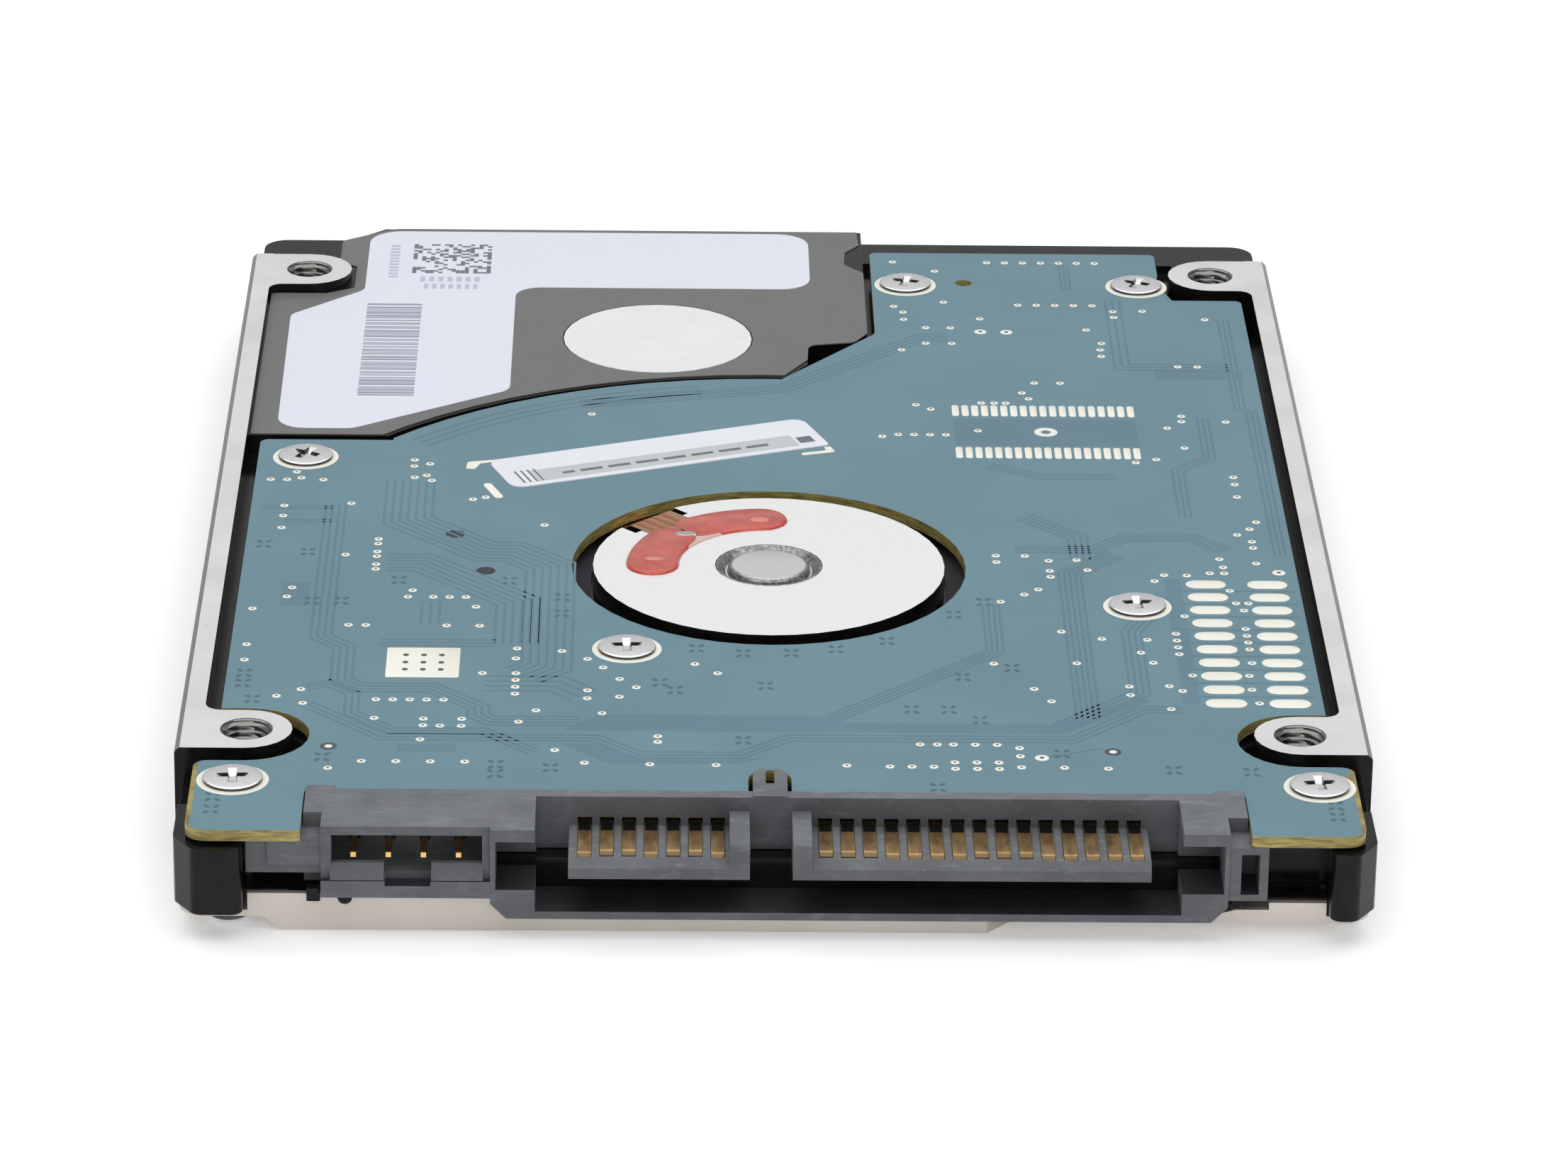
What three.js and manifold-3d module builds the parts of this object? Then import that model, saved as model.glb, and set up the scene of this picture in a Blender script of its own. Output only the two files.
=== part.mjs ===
// A 2.5-inch, 7 mm hard disk drive, lying on its top cover with the circuit board up.
// Units are millimetres. X runs across the drive, +Y away from the connector end, +Z up.
// The origin is under the middle of the drive, on the plane the cover rests on.

import * as THREE from 'three';
import { mergeVertices } from 'three/addons/utils/BufferGeometryUtils.js';
import Module from 'manifold-3d';

const wasm = await Module();
wasm.setup();

// Overall size
const WIDTH = 69.85;
const LENGTH = 100.35;
const HEIGHT = 7;
const HALF_X = WIDTH / 2;
const HALF_Y = LENGTH / 2;

// Heights of the main faces
const COVER_SHEET = 0.4;
const COVER_NEAR = -48.5;
const FLANGE_BOTTOM = 0.8;
const FLANGE_TOP = FLANGE_BOTTOM + COVER_SHEET;
const WALL_BOTTOM = 1.5;
const FLOOR_INSIDE = 4.2;
const FLOOR_OUTSIDE = 4.9;
const FAR_WALL_TOP = 5.5;
const VCM_CEILING = 5.75;
const BOARD_BOTTOM = 5.95;
const BOARD_TOP = 6.65;
const UNDER_BOARD = BOARD_BOTTOM - 0.02;
const LABEL_SEAT = 6.35;
const MOTOR_FACE = 6.72;
const FILM = 0.07;

// Rotation centres
const SPINDLE = [0, -10.4];
const PIVOT = [-7, 29.25];

// Outer casting
const TUB_HALF_X = 34.4;
const TUB_FRONT = -46.2;
const RAIL_INNER = 33.45;
const RAIL_CHAMFER = 0.3;
const RAIL_FRONT = -38.875;
const RAIL_REAR = 43.4;
const CAVITY_RADIUS = 33.3;
const MOTOR_BOSS_RADIUS = 10.9;
const MOTOR_WELL_RADIUS = 8.9;
const MOTOR_NECK_RADIUS = 3.8;
const SLEEVE_RADIUS = 3.3;
const VCM_ROOM_ARC = 33.5;
const LABEL_SEAT_ARC = 32.8;
const FLEX_ANGLE = 135;

// Mounting holes, M3, 61.72 mm apart across the drive and 76.6 mm along it
const MOUNT_X = 30.86;
const MOUNT_NEAR_Y = -36.175;
const MOUNT_FAR_Y = 40.425;
const MOUNT_HOLE_RADIUS = 1.25;
const MOUNT_HOLE_DEPTH = 3;
const NEAR_BOSS_RADIUS = 2.7;
const FAR_BOSS_RADIUS = 2.9;
const RIGHT_POST_INNER = 31.7;
const LEFT_POST_INNER = 30.4;
const POST_FACET_X = 33.15;
const POST_FACET_Y = -48.3;
const POST_BOTTOM = 1.65;
const POST_TOP = 5.75;
const SIDE_HOLE_Z = 4;

// Circuit board
const BOARD_LEFT = -32.55;
const BOARD_RIGHT = 32.7;
const BOARD_ARC = 31.75;
const BOARD_MOTOR_HOLE = 12.2;
const BOARD_BOSS_CUT = 3.68;
const TAB_FRONT = -49.4;
const TAB_REAR = -39.86;
const BOARD_NOTCH_Y = -44.05;
const NOTCH_HALF_X = 27.1;
const BOARD_SHOULDER_Y = 10.05;
const LOCATING_HOLES = [[-19.5, -5.6], [-17.5, -11.4], [13.9, 39.6]];
const BOARD_SCREWS = [
  [-29.5, 7], [9.9, 39.1], [25.7, 39], [22.5, -16.4], [-8.7, -23.4], [-31.3, -42.6], [31.5, -42.7],
];

// Screws
const PILOT_RADIUS = 0.8;
const SHANK_RADIUS = 0.7;
const HEAD_RADIUS = 1.75;
const COVER_HEAD_RADIUS = 1.2;
const CLAMP_HEAD_RADIUS = 2.1;
const COVER_SCREWS = [
  [-31.35, -46.8], [32.9, -46.2], [-32, 3], [32, 3], [-31.6, 47], [31.6, 47],
];

// Connector
const HOUSING_TOP = 6.85;
const HOUSING_BOTTOM = 1.28;
const HOUSING_FRONT = -49.65;
const HOUSING_REAR = -44.1;
const SOLDER_ROW_Y = HOUSING_REAR + 0.1;
const RECEPTACLE_BACK = -45;
const END_WALL_CLEAR = -46.25;
const FLOOR_CLEAR = -44.4;
const HOUSING_STEP_Z = 3.6;
const CLIP_CENTRE = [-0.3, -42];
const CLIP_TOP = 6.95;
const TONGUE_TOP = 5.05;
const TONGUE_BOTTOM = 3.85;
const TONGUE_FRONT = -49.9;
const CONTACT_PITCH = 1.27;
const SIGNAL_FIRST_X = -10.95;
const SIGNAL_COUNT = 7;
const POWER_FIRST_X = 2.85;
const POWER_COUNT = 15;
const CONTACT_WIDTH = 0.76;
const JUMPER_FIRST_X = -24.1;
const JUMPER_PITCH = 2;
const JUMPER_Z = 4.95;

// Disk and heads
const PLATTER_RADIUS = 32.5;
const PLATTER_BOTTOM = 1.9;
const PLATTER_TOP = 2.7;
const HUB_RADIUS = 9.97;
const ARM_LENGTH = 38.1;
const PARKED_ANGLE = -29.4;
const COIL_OUTER = 17.4;
const COIL_INNER = 10;
const LATCH_PIVOT = [-2.5, 46];

const DEG = Math.PI / 180;

// Flat faces that differ by less than this are merged after a cut or a join
const MERGE_TOLERANCE = 0.002;

// ---------- shape helpers ----------

function toSolid(geometry) {
  const bare = geometry.index ? geometry.toNonIndexed() : geometry.clone();
  bare.deleteAttribute('normal');
  bare.deleteAttribute('uv');
  const merged = mergeVertices(bare, 1e-4);
  return new wasm.Manifold(new wasm.Mesh({
    numProp: 3,
    vertProperties: new Float32Array(merged.attributes.position.array),
    triVerts: new Uint32Array(merged.index.array),
  }));
}

function toGeometry(solid) {
  const mesh = solid.asOriginal().simplify(MERGE_TOLERANCE).getMesh();
  const geometry = new THREE.BufferGeometry();
  geometry.setAttribute('position', new THREE.BufferAttribute(mesh.vertProperties, 3));
  geometry.setIndex(new THREE.BufferAttribute(mesh.triVerts, 1));
  geometry.computeVertexNormals();
  return geometry;
}

function join(...solids) {
  return solids.reduce((sum, solid) => sum.add(solid));
}

function box(x0, x1, y0, y1, z0, z1) {
  const geometry = new THREE.BoxGeometry(x1 - x0, y1 - y0, z1 - z0);
  geometry.translate((x0 + x1) / 2, (y0 + y1) / 2, (z0 + z1) / 2);
  return toSolid(geometry);
}

function disc([x, y], radius, z0, z1, sides = 20) {
  const geometry = new THREE.CylinderGeometry(radius, radius, z1 - z0, sides);
  geometry.rotateX(Math.PI / 2);
  geometry.translate(x, y, (z0 + z1) / 2);
  return toSolid(geometry);
}

function ring(centre, inner, outer, z0, z1, sides = 24) {
  return disc(centre, outer, z0, z1, sides).subtract(disc(centre, inner, z0 - 1, z1 + 1, sides));
}

// A closed outline from corners [x, y, radius]: a corner with a radius is rounded.
function outline(corners) {
  const shape = new THREE.Shape();
  corners.forEach(([x, y, radius = 0], i) => {
    const corner = new THREE.Vector2(x, y);
    const before = new THREE.Vector2(...corners.at(i - 1).slice(0, 2)).sub(corner).normalize();
    const after = new THREE.Vector2(...corners[(i + 1) % corners.length].slice(0, 2)).sub(corner).normalize();
    const half = Math.acos(before.dot(after)) / 2;
    const run = radius / Math.tan(half);
    const start = corner.clone().addScaledVector(before, run);
    const end = corner.clone().addScaledVector(after, run);
    if (i === 0) shape.moveTo(start.x, start.y);
    else shape.lineTo(start.x, start.y);
    if (radius === 0) return;
    const middle = before.clone().add(after).normalize();
    const centre = corner.clone().addScaledVector(middle, radius / Math.sin(half));
    const from = Math.atan2(start.y - centre.y, start.x - centre.x);
    const to = Math.atan2(end.y - centre.y, end.x - centre.x);
    const clockwise = before.cross(after) > 0;
    shape.absarc(centre.x, centre.y, radius, from, to, clockwise);
  });
  shape.closePath();
  return shape;
}

function slab(shape, z0, z1, curveSegments = 3) {
  const geometry = new THREE.ExtrudeGeometry(shape, { depth: z1 - z0, bevelEnabled: false, curveSegments });
  geometry.translate(0, 0, z0);
  return toSolid(geometry);
}

function plate(corners, z0, z1, curveSegments = 3) {
  return slab(outline(corners), z0, z1, curveSegments);
}

// A profile in X and Z, extruded along Y from y0 to y1.
function barAlongY(profile, y0, y1) {
  const shape = new THREE.Shape(profile.map(([x, z]) => new THREE.Vector2(x, z)));
  const geometry = new THREE.ExtrudeGeometry(shape, { depth: y1 - y0, bevelEnabled: false });
  geometry.rotateX(Math.PI / 2);
  geometry.translate(0, y1, 0);
  return toSolid(geometry);
}

// A profile in Y and Z, extruded along X from x0 to x1.
function barAlongX(x0, x1, profile) {
  const shape = new THREE.Shape(profile.map(([y, z]) => new THREE.Vector2(y, z)));
  const geometry = new THREE.ExtrudeGeometry(shape, { depth: x1 - x0, bevelEnabled: false });
  geometry.rotateX(Math.PI / 2);
  geometry.rotateZ(Math.PI / 2);
  geometry.translate(x0, 0, 0);
  return toSolid(geometry);
}

// A closed profile of [radius, z], turned about a vertical axis.
function turned([x, y], profile, sides = 24) {
  const geometry = new THREE.LatheGeometry(profile.map(([r, z]) => new THREE.Vector2(r, z)), sides);
  geometry.rotateX(Math.PI / 2);
  geometry.translate(x, y, 0);
  return toSolid(geometry);
}

function polar([x, y], radius, degrees) {
  return [x + radius * Math.cos(degrees * DEG), y + radius * Math.sin(degrees * DEG)];
}

function turnAbout(solid, [x, y], degrees) {
  return solid.translate([-x, -y, 0]).rotate([0, 0, degrees]).translate([x, y, 0]);
}

function mirrorX(solid) {
  return solid.mirror([1, 0, 0]);
}

// ---------- casting ----------

function vcmSeat(inset, arc) {
  const region = plate([
    [-RAIL_INNER + inset, 11.5 + inset], [-24, 11.5 + inset], [1.1, 21.6 + inset], [3 - inset, 24.8],
    [3 - inset, 28.4 + inset], [6 - inset, 29 + inset], [7.1 - inset, 30.6], [7.1 - inset, HALF_Y - inset],
    [-26 + inset, HALF_Y - inset], [-29 + inset, 47.3 - inset], [-29 + inset, 43.6],
    [-RAIL_INNER + inset, 43.6],
  ], -1, 1);
  return region.subtract(disc(SPINDLE, arc, -2, 2, 72));
}

function stretchZ(solid, z0, z1) {
  return solid.scale([1, 1, (z1 - z0) / 2]).translate([0, 0, (z0 + z1) / 2]);
}

function mountBoss(y, radius) {
  const ear = disc([MOUNT_X, y], radius, WALL_BOTTOM, HEIGHT, 24);
  const root = box(MOUNT_X, HALF_X - RAIL_CHAMFER, y - radius, y + radius, WALL_BOTTOM, HEIGHT);
  return ear.add(root);
}

function sideRail() {
  return barAlongY([
    [RAIL_INNER, WALL_BOTTOM], [HALF_X, WALL_BOTTOM], [HALF_X, HEIGHT - RAIL_CHAMFER],
    [HALF_X - RAIL_CHAMFER, HEIGHT], [RAIL_INNER, HEIGHT],
  ], RAIL_FRONT, RAIL_REAR);
}

// A post at a near corner of the casting, with its outer edge cut away by a facet.
function cornerPost(inner) {
  return plate([
    [inner, -HALF_Y, 0.7], [POST_FACET_X, -HALF_Y, 0.8], [TUB_HALF_X, POST_FACET_Y, 0.8], [TUB_HALF_X, -44],
    [inner, -44],
  ], POST_BOTTOM, POST_TOP);
}

function screwPost(at, top, bottom) {
  return disc(at, 1.9, bottom, top, 12);
}

function baseCasting() {
  const tub = plate([
    [-TUB_HALF_X, TUB_FRONT], [TUB_HALF_X, TUB_FRONT], [TUB_HALF_X, HALF_Y, 1.6], [-TUB_HALF_X, HALF_Y, 1.6],
  ], WALL_BOTTOM, FLOOR_OUTSIDE);
  const farWall = plate([
    [-TUB_HALF_X, 43.4], [-28.8, 43.4], [-28.8, 46.3], [TUB_HALF_X, 46.3], [TUB_HALF_X, HALF_Y, 1.6],
    [-TUB_HALF_X, HALF_Y, 1.6],
  ], WALL_BOTTOM, FAR_WALL_TOP);
  const farRight = box(28.6, TUB_HALF_X, 43.4, 46.5, WALL_BOTTOM, FAR_WALL_TOP);
  const nearBoss = mountBoss(MOUNT_NEAR_Y, NEAR_BOSS_RADIUS);
  const farBoss = mountBoss(MOUNT_FAR_Y, FAR_BOSS_RADIUS);
  const rightSide = join(sideRail(), nearBoss, farBoss);
  const posts = join(cornerPost(RIGHT_POST_INNER), mirrorX(cornerPost(LEFT_POST_INNER)));
  const nearLip = box(28.3, RIGHT_POST_INNER + 0.1, -46.6, TUB_FRONT + 0.1, WALL_BOTTOM, 2.3);
  let body = join(tub, farWall, farRight, rightSide, mirrorX(rightSide), posts, nearLip);
  body = body.add(stretchZ(vcmSeat(0, LABEL_SEAT_ARC), WALL_BOTTOM, LABEL_SEAT));
  body = body.add(disc(SPINDLE, MOTOR_BOSS_RADIUS, FLOOR_INSIDE, MOTOR_FACE, 48));
  for (const at of BOARD_SCREWS) body = body.add(screwPost(at, BOARD_BOTTOM, FLOOR_INSIDE));

  // Disk and head chamber, opened from below
  const headRoom = plate([
    [-32.2, 6], [32.2, 6], [32.2, 36.4, 1], [27.3, 36.4, 1], [27.3, 45, 1], [29.6, 45, 1], [29.6, 48.4, 2],
    [-29.6, 48.4, 2], [-29.6, 45, 1], [-27.3, 45, 1], [-27.3, 36.4, 1], [-32.2, 36.4, 1],
  ], 0, FLOOR_INSIDE);
  const diskRoom = disc(SPINDLE, CAVITY_RADIUS, 0, FLOOR_INSIDE, 56);
  const vcmLimit = plate([
    [-40, 0], [10, 0], [10, 48.4], [-27.3, 48.4], [-27.3, 36.4], [-40, 36.4],
  ], 0, VCM_CEILING);
  const vcmRoom = stretchZ(vcmSeat(0.9, VCM_ROOM_ARC), 0, VCM_CEILING).intersect(vcmLimit);
  const motorWell = ring(SPINDLE, MOTOR_NECK_RADIUS, MOTOR_WELL_RADIUS, 0, 6.1, 32);
  const neckTrim = disc(SPINDLE, MOTOR_NECK_RADIUS + 1, 0, FLOOR_INSIDE + 0.2, 20);
  body = body.subtract(join(headRoom, diskRoom, vcmRoom, motorWell, neckTrim));

  // Shelf for the connector housing
  body = body.subtract(box(-29.3, 28.4, -47, FLOOR_CLEAR + 0.08, HOUSING_STEP_Z - 0.05, 6));

  // Window for the head connector, sleeve bore, flex notch and threaded holes
  body = body.subtract(box(14.3, 23.7, 34.1, 36.9, 4, 6));
  body = body.subtract(disc(SPINDLE, SLEEVE_RADIUS + 0.03, 0, HEIGHT, 28));
  const notch = box(9.4, 12, -2.3, 2.3, 5.1, HEIGHT).rotate([0, 0, FLEX_ANGLE]);
  body = body.subtract(notch.translate([...SPINDLE, 0]));
  for (const at of BOARD_SCREWS) body = body.subtract(disc(at, PILOT_RADIUS, 4.55, HEIGHT, 8));
  for (const at of COVER_SCREWS) body = body.subtract(disc(at, PILOT_RADIUS, 0, 3.6, 8));
  for (const y of [MOUNT_NEAR_Y, MOUNT_FAR_Y]) {
    const drop = disc([MOUNT_X, y], MOUNT_HOLE_RADIUS, HEIGHT - MOUNT_HOLE_DEPTH, HEIGHT + 1, 18);
    const side = disc([0, 0], MOUNT_HOLE_RADIUS, 32.6, 36, 18).rotate([0, 90, 0]);
    const holes = drop.add(side.translate([0, y, SIDE_HOLE_Z]));
    body = body.subtract(holes.add(mirrorX(holes)));
  }
  return body;
}

// ---------- cover ----------

function plateau(inset, z0, z1) {
  const near = -52;
  let shape = plate([
    [-28.4 + inset, near], [9 - inset, near], [15.5 - inset, -44.8 + inset], [28.4 - inset, -44.8 + inset, 2],
    [31.2 - inset, -41.5, 2], [31.2 - inset, 43, 2], [28 - inset, 46.4 - inset, 2],
    [-28 + inset, 46.4 - inset, 2], [-31.2 + inset, 43, 2], [-31.2 + inset, -42.5, 2],
    [-28.4 + inset, -45, 1],
  ], z0, z1);
  for (const x of [-32, 32]) shape = shape.subtract(disc([x, 3], 3 + inset, z0 - 1, z1 + 1, 20));
  return shape;
}

function topCover() {
  const sheet = (z0, z1) => plate([
    [-34.2, COVER_NEAR, 1.5], [34.2, COVER_NEAR, 1.5], [34.2, 49.6, 2.5], [-34.2, 49.6, 2.5],
  ], z0, z1);
  const raised = plateau(0, 0, FLANGE_TOP).intersect(sheet(0, FLANGE_TOP));
  const nearWall = box(-40, 40, -60, COVER_NEAR + COVER_SHEET, 0, FLANGE_TOP);
  const hollow = plateau(COVER_SHEET, COVER_SHEET, FLANGE_TOP + 1).subtract(nearWall);
  let cover = sheet(FLANGE_BOTTOM, FLANGE_TOP).add(raised).subtract(hollow);
  cover = cover.add(disc(PIVOT, 3, 0, 0.9, 20)).subtract(disc(PIVOT, 2.6, -1, 0.5, 20));
  cover = cover.subtract(disc(PIVOT, 1, -1, 2, 8));
  for (const at of COVER_SCREWS) cover = cover.subtract(disc(at, 1, -1, 3, 8));
  return cover;
}

function coverGasket() {
  const outer = plate([
    [-33.9, -45.7, 3], [33.9, -45.7, 3], [33.9, 49.2, 3], [-33.9, 49.2, 3],
  ], FLANGE_TOP, WALL_BOTTOM);
  const inner = plate([
    [-33.4, -45.2, 2.5], [33.4, -45.2, 2.5], [33.4, 48.7, 2.5], [-33.4, 48.7, 2.5],
  ], 0, 3);
  return outer.subtract(inner);
}

// ---------- screws ----------

// A pan head screw. Its head faces up, or down when up is false.
function panScrew([x, y], seat, headTop, tip, up, radius = HEAD_RADIUS) {
  const rise = Math.abs(headTop - seat);
  const drop = -Math.abs(seat - tip);
  const screw = turned([0, 0], [
    [0, drop], [SHANK_RADIUS, drop], [SHANK_RADIUS, 0], [radius, 0], [radius, rise * 0.6],
    [radius * 0.82, rise], [0, rise],
  ], 12);
  const facing = up ? screw : screw.rotate([180, 0, 0]);
  return facing.translate([x, y, seat]);
}

// ---------- circuit board ----------

function circuitBoard() {
  const z0 = BOARD_BOTTOM;
  const z1 = BOARD_TOP;
  const lower = plate([
    [-NOTCH_HALF_X, BOARD_NOTCH_Y], [NOTCH_HALF_X, BOARD_NOTCH_Y], [NOTCH_HALF_X, TAB_REAR],
    [BOARD_RIGHT, TAB_REAR], [BOARD_RIGHT, BOARD_SHOULDER_Y], [BOARD_LEFT, BOARD_SHOULDER_Y, 0.6],
    [BOARD_LEFT, TAB_REAR], [-NOTCH_HALF_X, TAB_REAR],
  ], z0, z1);
  const dome = disc(SPINDLE, BOARD_ARC, z0, z1, 80).intersect(box(-24, 2, 8, 23, z0, z1));
  const upper = plate([
    [1.2, 8], [BOARD_RIGHT, 8], [BOARD_RIGHT, 36.5, 0.5], [28, 36.5], [27.3, 39], [27.3, 45.4, 0.5],
    [7.6, 45.4, 0.5], [7.6, 29.8, 1.2], [1.2, 21.3],
  ], z0, z1);
  const tab = plate([
    [26.5, TAB_FRONT, 0.9], [33.7, TAB_FRONT, 1.2], [33.7, TAB_REAR, 0.8], [25, TAB_REAR], [25, -43],
    [NOTCH_HALF_X, -43], [NOTCH_HALF_X, -47.9], [26.5, -47.9, 0.3],
  ], z0, z1);
  let board = join(lower, dome, upper, tab, mirrorX(tab));
  board = board.subtract(box(-NOTCH_HALF_X, NOTCH_HALF_X, -52, BOARD_NOTCH_Y, z0 - 1, z1 + 1));
  for (const side of [-1, 1]) {
    board = board.subtract(disc([side * MOUNT_X, MOUNT_NEAR_Y], BOARD_BOSS_CUT, z0 - 1, z1 + 1, 28));
    board = board.subtract(disc([side * MOUNT_X, MOUNT_FAR_Y], BOARD_BOSS_CUT, z0 - 1, z1 + 1, 28));
    const gapNear = MOUNT_NEAR_Y - BOARD_BOSS_CUT;
    const gapFar = MOUNT_NEAR_Y + BOARD_BOSS_CUT;
    const gap = box(MOUNT_X, 36, gapNear, gapFar, z0 - 1, z1 + 1);
    board = board.subtract(side > 0 ? gap : mirrorX(gap));
  }
  board = board.subtract(disc(SPINDLE, BOARD_MOTOR_HOLE, z0 - 1, z1 + 1, 48));
  const clipSlot = box(-1.55, 0.95, -52, -42, z0 - 1, z1 + 1);
  board = board.subtract(clipSlot.add(disc(CLIP_CENTRE, 1.25, z0 - 1, z1 + 1, 14)));
  for (const at of BOARD_SCREWS) board = board.subtract(disc(at, PILOT_RADIUS, z0 - 1, z1 + 1, 8));
  for (const at of LOCATING_HOLES) board = board.subtract(disc(at, 0.6, z0 - 1, z1 + 1, 8));
  return board;
}

function underBoardChip(x0, x1, y0, y1, height) {
  const corners = [[x0, y0, 0.3], [x1, y0, 0.3], [x1, y1, 0.3], [x0, y1, 0.3]];
  return plate(corners, UNDER_BOARD - height, UNDER_BOARD, 2);
}

function boardInsulator() {
  const z0 = FLOOR_OUTSIDE;
  let film = plate([
    [-31.5, -38], [-25.5, -42], [25.5, -42], [31.5, -30], [31.5, 9], [-26, 9],
  ], z0, z0 + 0.1, 2);
  film = film.subtract(disc(SPINDLE, MOTOR_BOSS_RADIUS + 0.4, z0 - 1, z0 + 1, 14));
  for (const at of BOARD_SCREWS) film = film.subtract(disc(at, 2.4, z0 - 1, z0 + 1, 10));
  for (const side of [-1, 1]) {
    film = film.subtract(disc([side * MOUNT_X, MOUNT_NEAR_Y], 4, z0 - 1, z0 + 1, 24));
  }
  return film;
}

// ---------- connector ----------

function contactXs(first, count) {
  return Array.from({ length: count }, (_, i) => first + i * CONTACT_PITCH);
}

function keyedTongue(x0, x1, keyX0, keyX1) {
  const blade = barAlongX(x0, x1, [
    [TONGUE_FRONT + 0.35, TONGUE_BOTTOM], [RECEPTACLE_BACK + 0.1, TONGUE_BOTTOM],
    [RECEPTACLE_BACK + 0.1, TONGUE_TOP], [TONGUE_FRONT + 0.5, TONGUE_TOP], [TONGUE_FRONT, TONGUE_TOP - 0.45],
    [TONGUE_FRONT, TONGUE_BOTTOM + 0.1],
  ]);
  const key = barAlongX(keyX0, keyX1, [
    [TONGUE_FRONT, TONGUE_BOTTOM + 0.1], [RECEPTACLE_BACK + 0.1, TONGUE_BOTTOM + 0.1],
    [RECEPTACLE_BACK + 0.1, 6], [TONGUE_FRONT + 0.3, 6], [TONGUE_FRONT, 5.65],
  ]);
  return blade.add(key);
}

function sataHousing() {
  // Outer block: low centre, shallow jumper wing on the left, guide wing on the right
  let body = box(-27, 26, HOUSING_FRONT + 2.3, HOUSING_REAR, 2.55, HOUSING_TOP);
  body = body.add(barAlongY([
    [-16.3, 2.2], [-15.4, HOUSING_BOTTOM], [24.9, HOUSING_BOTTOM], [25.85, 2.25], [25.85, HOUSING_TOP],
    [-16.3, HOUSING_TOP],
  ], HOUSING_FRONT, HOUSING_REAR - 1.1));
  body = body.add(box(-25.95, -16, HOUSING_FRONT + 0.4, HOUSING_REAR - 1, 2.55, HOUSING_TOP));
  body = body.add(box(-25.95, -16, HOUSING_FRONT, HOUSING_REAR - 1, 2.55, 3.6));
  body = body.add(box(25.5, 28.1, HOUSING_FRONT + 0.2, HOUSING_REAR - 1.2, 2.6, UNDER_BOARD));
  body = body.add(box(-29, -25.9, HOUSING_FRONT + 0.6, HOUSING_REAR - 1.2, 4.3, UNDER_BOARD));
  body = body.add(box(-30.25, -25.9, HOUSING_FRONT + 0.9, END_WALL_CLEAR, 3.7, UNDER_BOARD));
  body = body.add(box(25.5, 27, HOUSING_FRONT + 2.3, HOUSING_REAR, 5, HOUSING_TOP));
  for (const x of [-27, 25.3]) {
    body = body.add(box(x, x + 1.7, HOUSING_REAR - 0.1, -43.65, BOARD_TOP, HOUSING_TOP));
  }

  // Steps that clear the casting's end wall and floor
  body = body.subtract(box(-40, 40, END_WALL_CLEAR, -40, 0, HOUSING_STEP_Z));
  body = body.subtract(box(-40, 40, FLOOR_CLEAR, -40, 0, UNDER_BOARD));

  // Split clip that holds the board
  const clipStem = box(-1.3, 0.7, -45, -42, BOARD_BOTTOM - 0.6, CLIP_TOP);
  const clipHead = disc(CLIP_CENTRE, 1, BOARD_BOTTOM - 0.6, CLIP_TOP, 14);
  body = join(body, clipStem, clipHead).subtract(box(-0.55, -0.05, -43.2, -40, 5, 8));

  // Receptacle, open at the front and towards the board
  body = body.subtract(box(-13.75, 23.2, -53, RECEPTACLE_BACK, 1.75, 8));
  body = body.subtract(box(-16, 25.6, -53, -45.6, 3.1, 6.1));
  body = join(
    body,
    keyedTongue(-11.85, -1.5, -2.65, -1.5),
    keyedTongue(0.95, 21.4, 0.95, 2.05),
  );

  // Jumper window with its key notch, and the small window at the right
  body = body.subtract(box(-25.35, -16.75, -53, -46.2, 3.75, 6.3));
  body = body.subtract(box(-22.3, -19.7, -53, -48.6, 3.3, 4.4));
  body = body.subtract(box(26.55, 27.6, -53, -46.6, 3, 5.5));

  // Slots for the contacts and the jumper pins
  for (const x of [...contactXs(SIGNAL_FIRST_X, SIGNAL_COUNT), ...contactXs(POWER_FIRST_X, POWER_COUNT)]) {
    const slotFloor = TONGUE_TOP - 0.12;
    body = body.subtract(box(x - 0.41, x + 0.41, -49.35, HOUSING_REAR + 1, slotFloor, TONGUE_TOP + 0.5));
  }
  for (let i = 0; i < 4; i += 1) {
    const x = JUMPER_FIRST_X + i * JUMPER_PITCH;
    body = body.subtract(box(x - 0.3, x + 0.3, -47, HOUSING_REAR + 1, JUMPER_Z - 0.3, JUMPER_Z + 0.3));
  }
  return body;
}

// Flat contacts on a tongue, joined behind the housing by their solder row.
function contactRow(first, count, longOnes) {
  const xs = contactXs(first, count);
  const row = box(xs[0] - 0.4, xs.at(-1) + 0.4, SOLDER_ROW_Y, SOLDER_ROW_Y + 0.5, 4.95, 5.2);
  return xs.reduce((sum, x, i) => {
    const front = longOnes.includes(i) ? -49.3 : -49.05;
    const z0 = TONGUE_TOP - 0.1;
    const half = CONTACT_WIDTH / 2;
    return sum.add(box(x - half, x + half, front, HOUSING_REAR + 0.3, z0, z0 + 0.16));
  }, row);
}

function jumperPins() {
  const last = JUMPER_FIRST_X + 3 * JUMPER_PITCH;
  const half = 0.22;
  let pins = box(JUMPER_FIRST_X - 0.25, last + 0.25, SOLDER_ROW_Y, SOLDER_ROW_Y + 0.5, 4.95, 5.2);
  for (let i = 0; i < 4; i += 1) {
    const x = JUMPER_FIRST_X + i * JUMPER_PITCH;
    pins = pins.add(box(x - half, x + half, -49, FLOOR_CLEAR, JUMPER_Z - half, JUMPER_Z + half));
    pins = pins.add(box(x - half, x + half, FLOOR_CLEAR - 0.2, HOUSING_REAR + 0.3, JUMPER_Z, JUMPER_Z + half));
  }
  return pins;
}

// ---------- labels ----------

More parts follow.
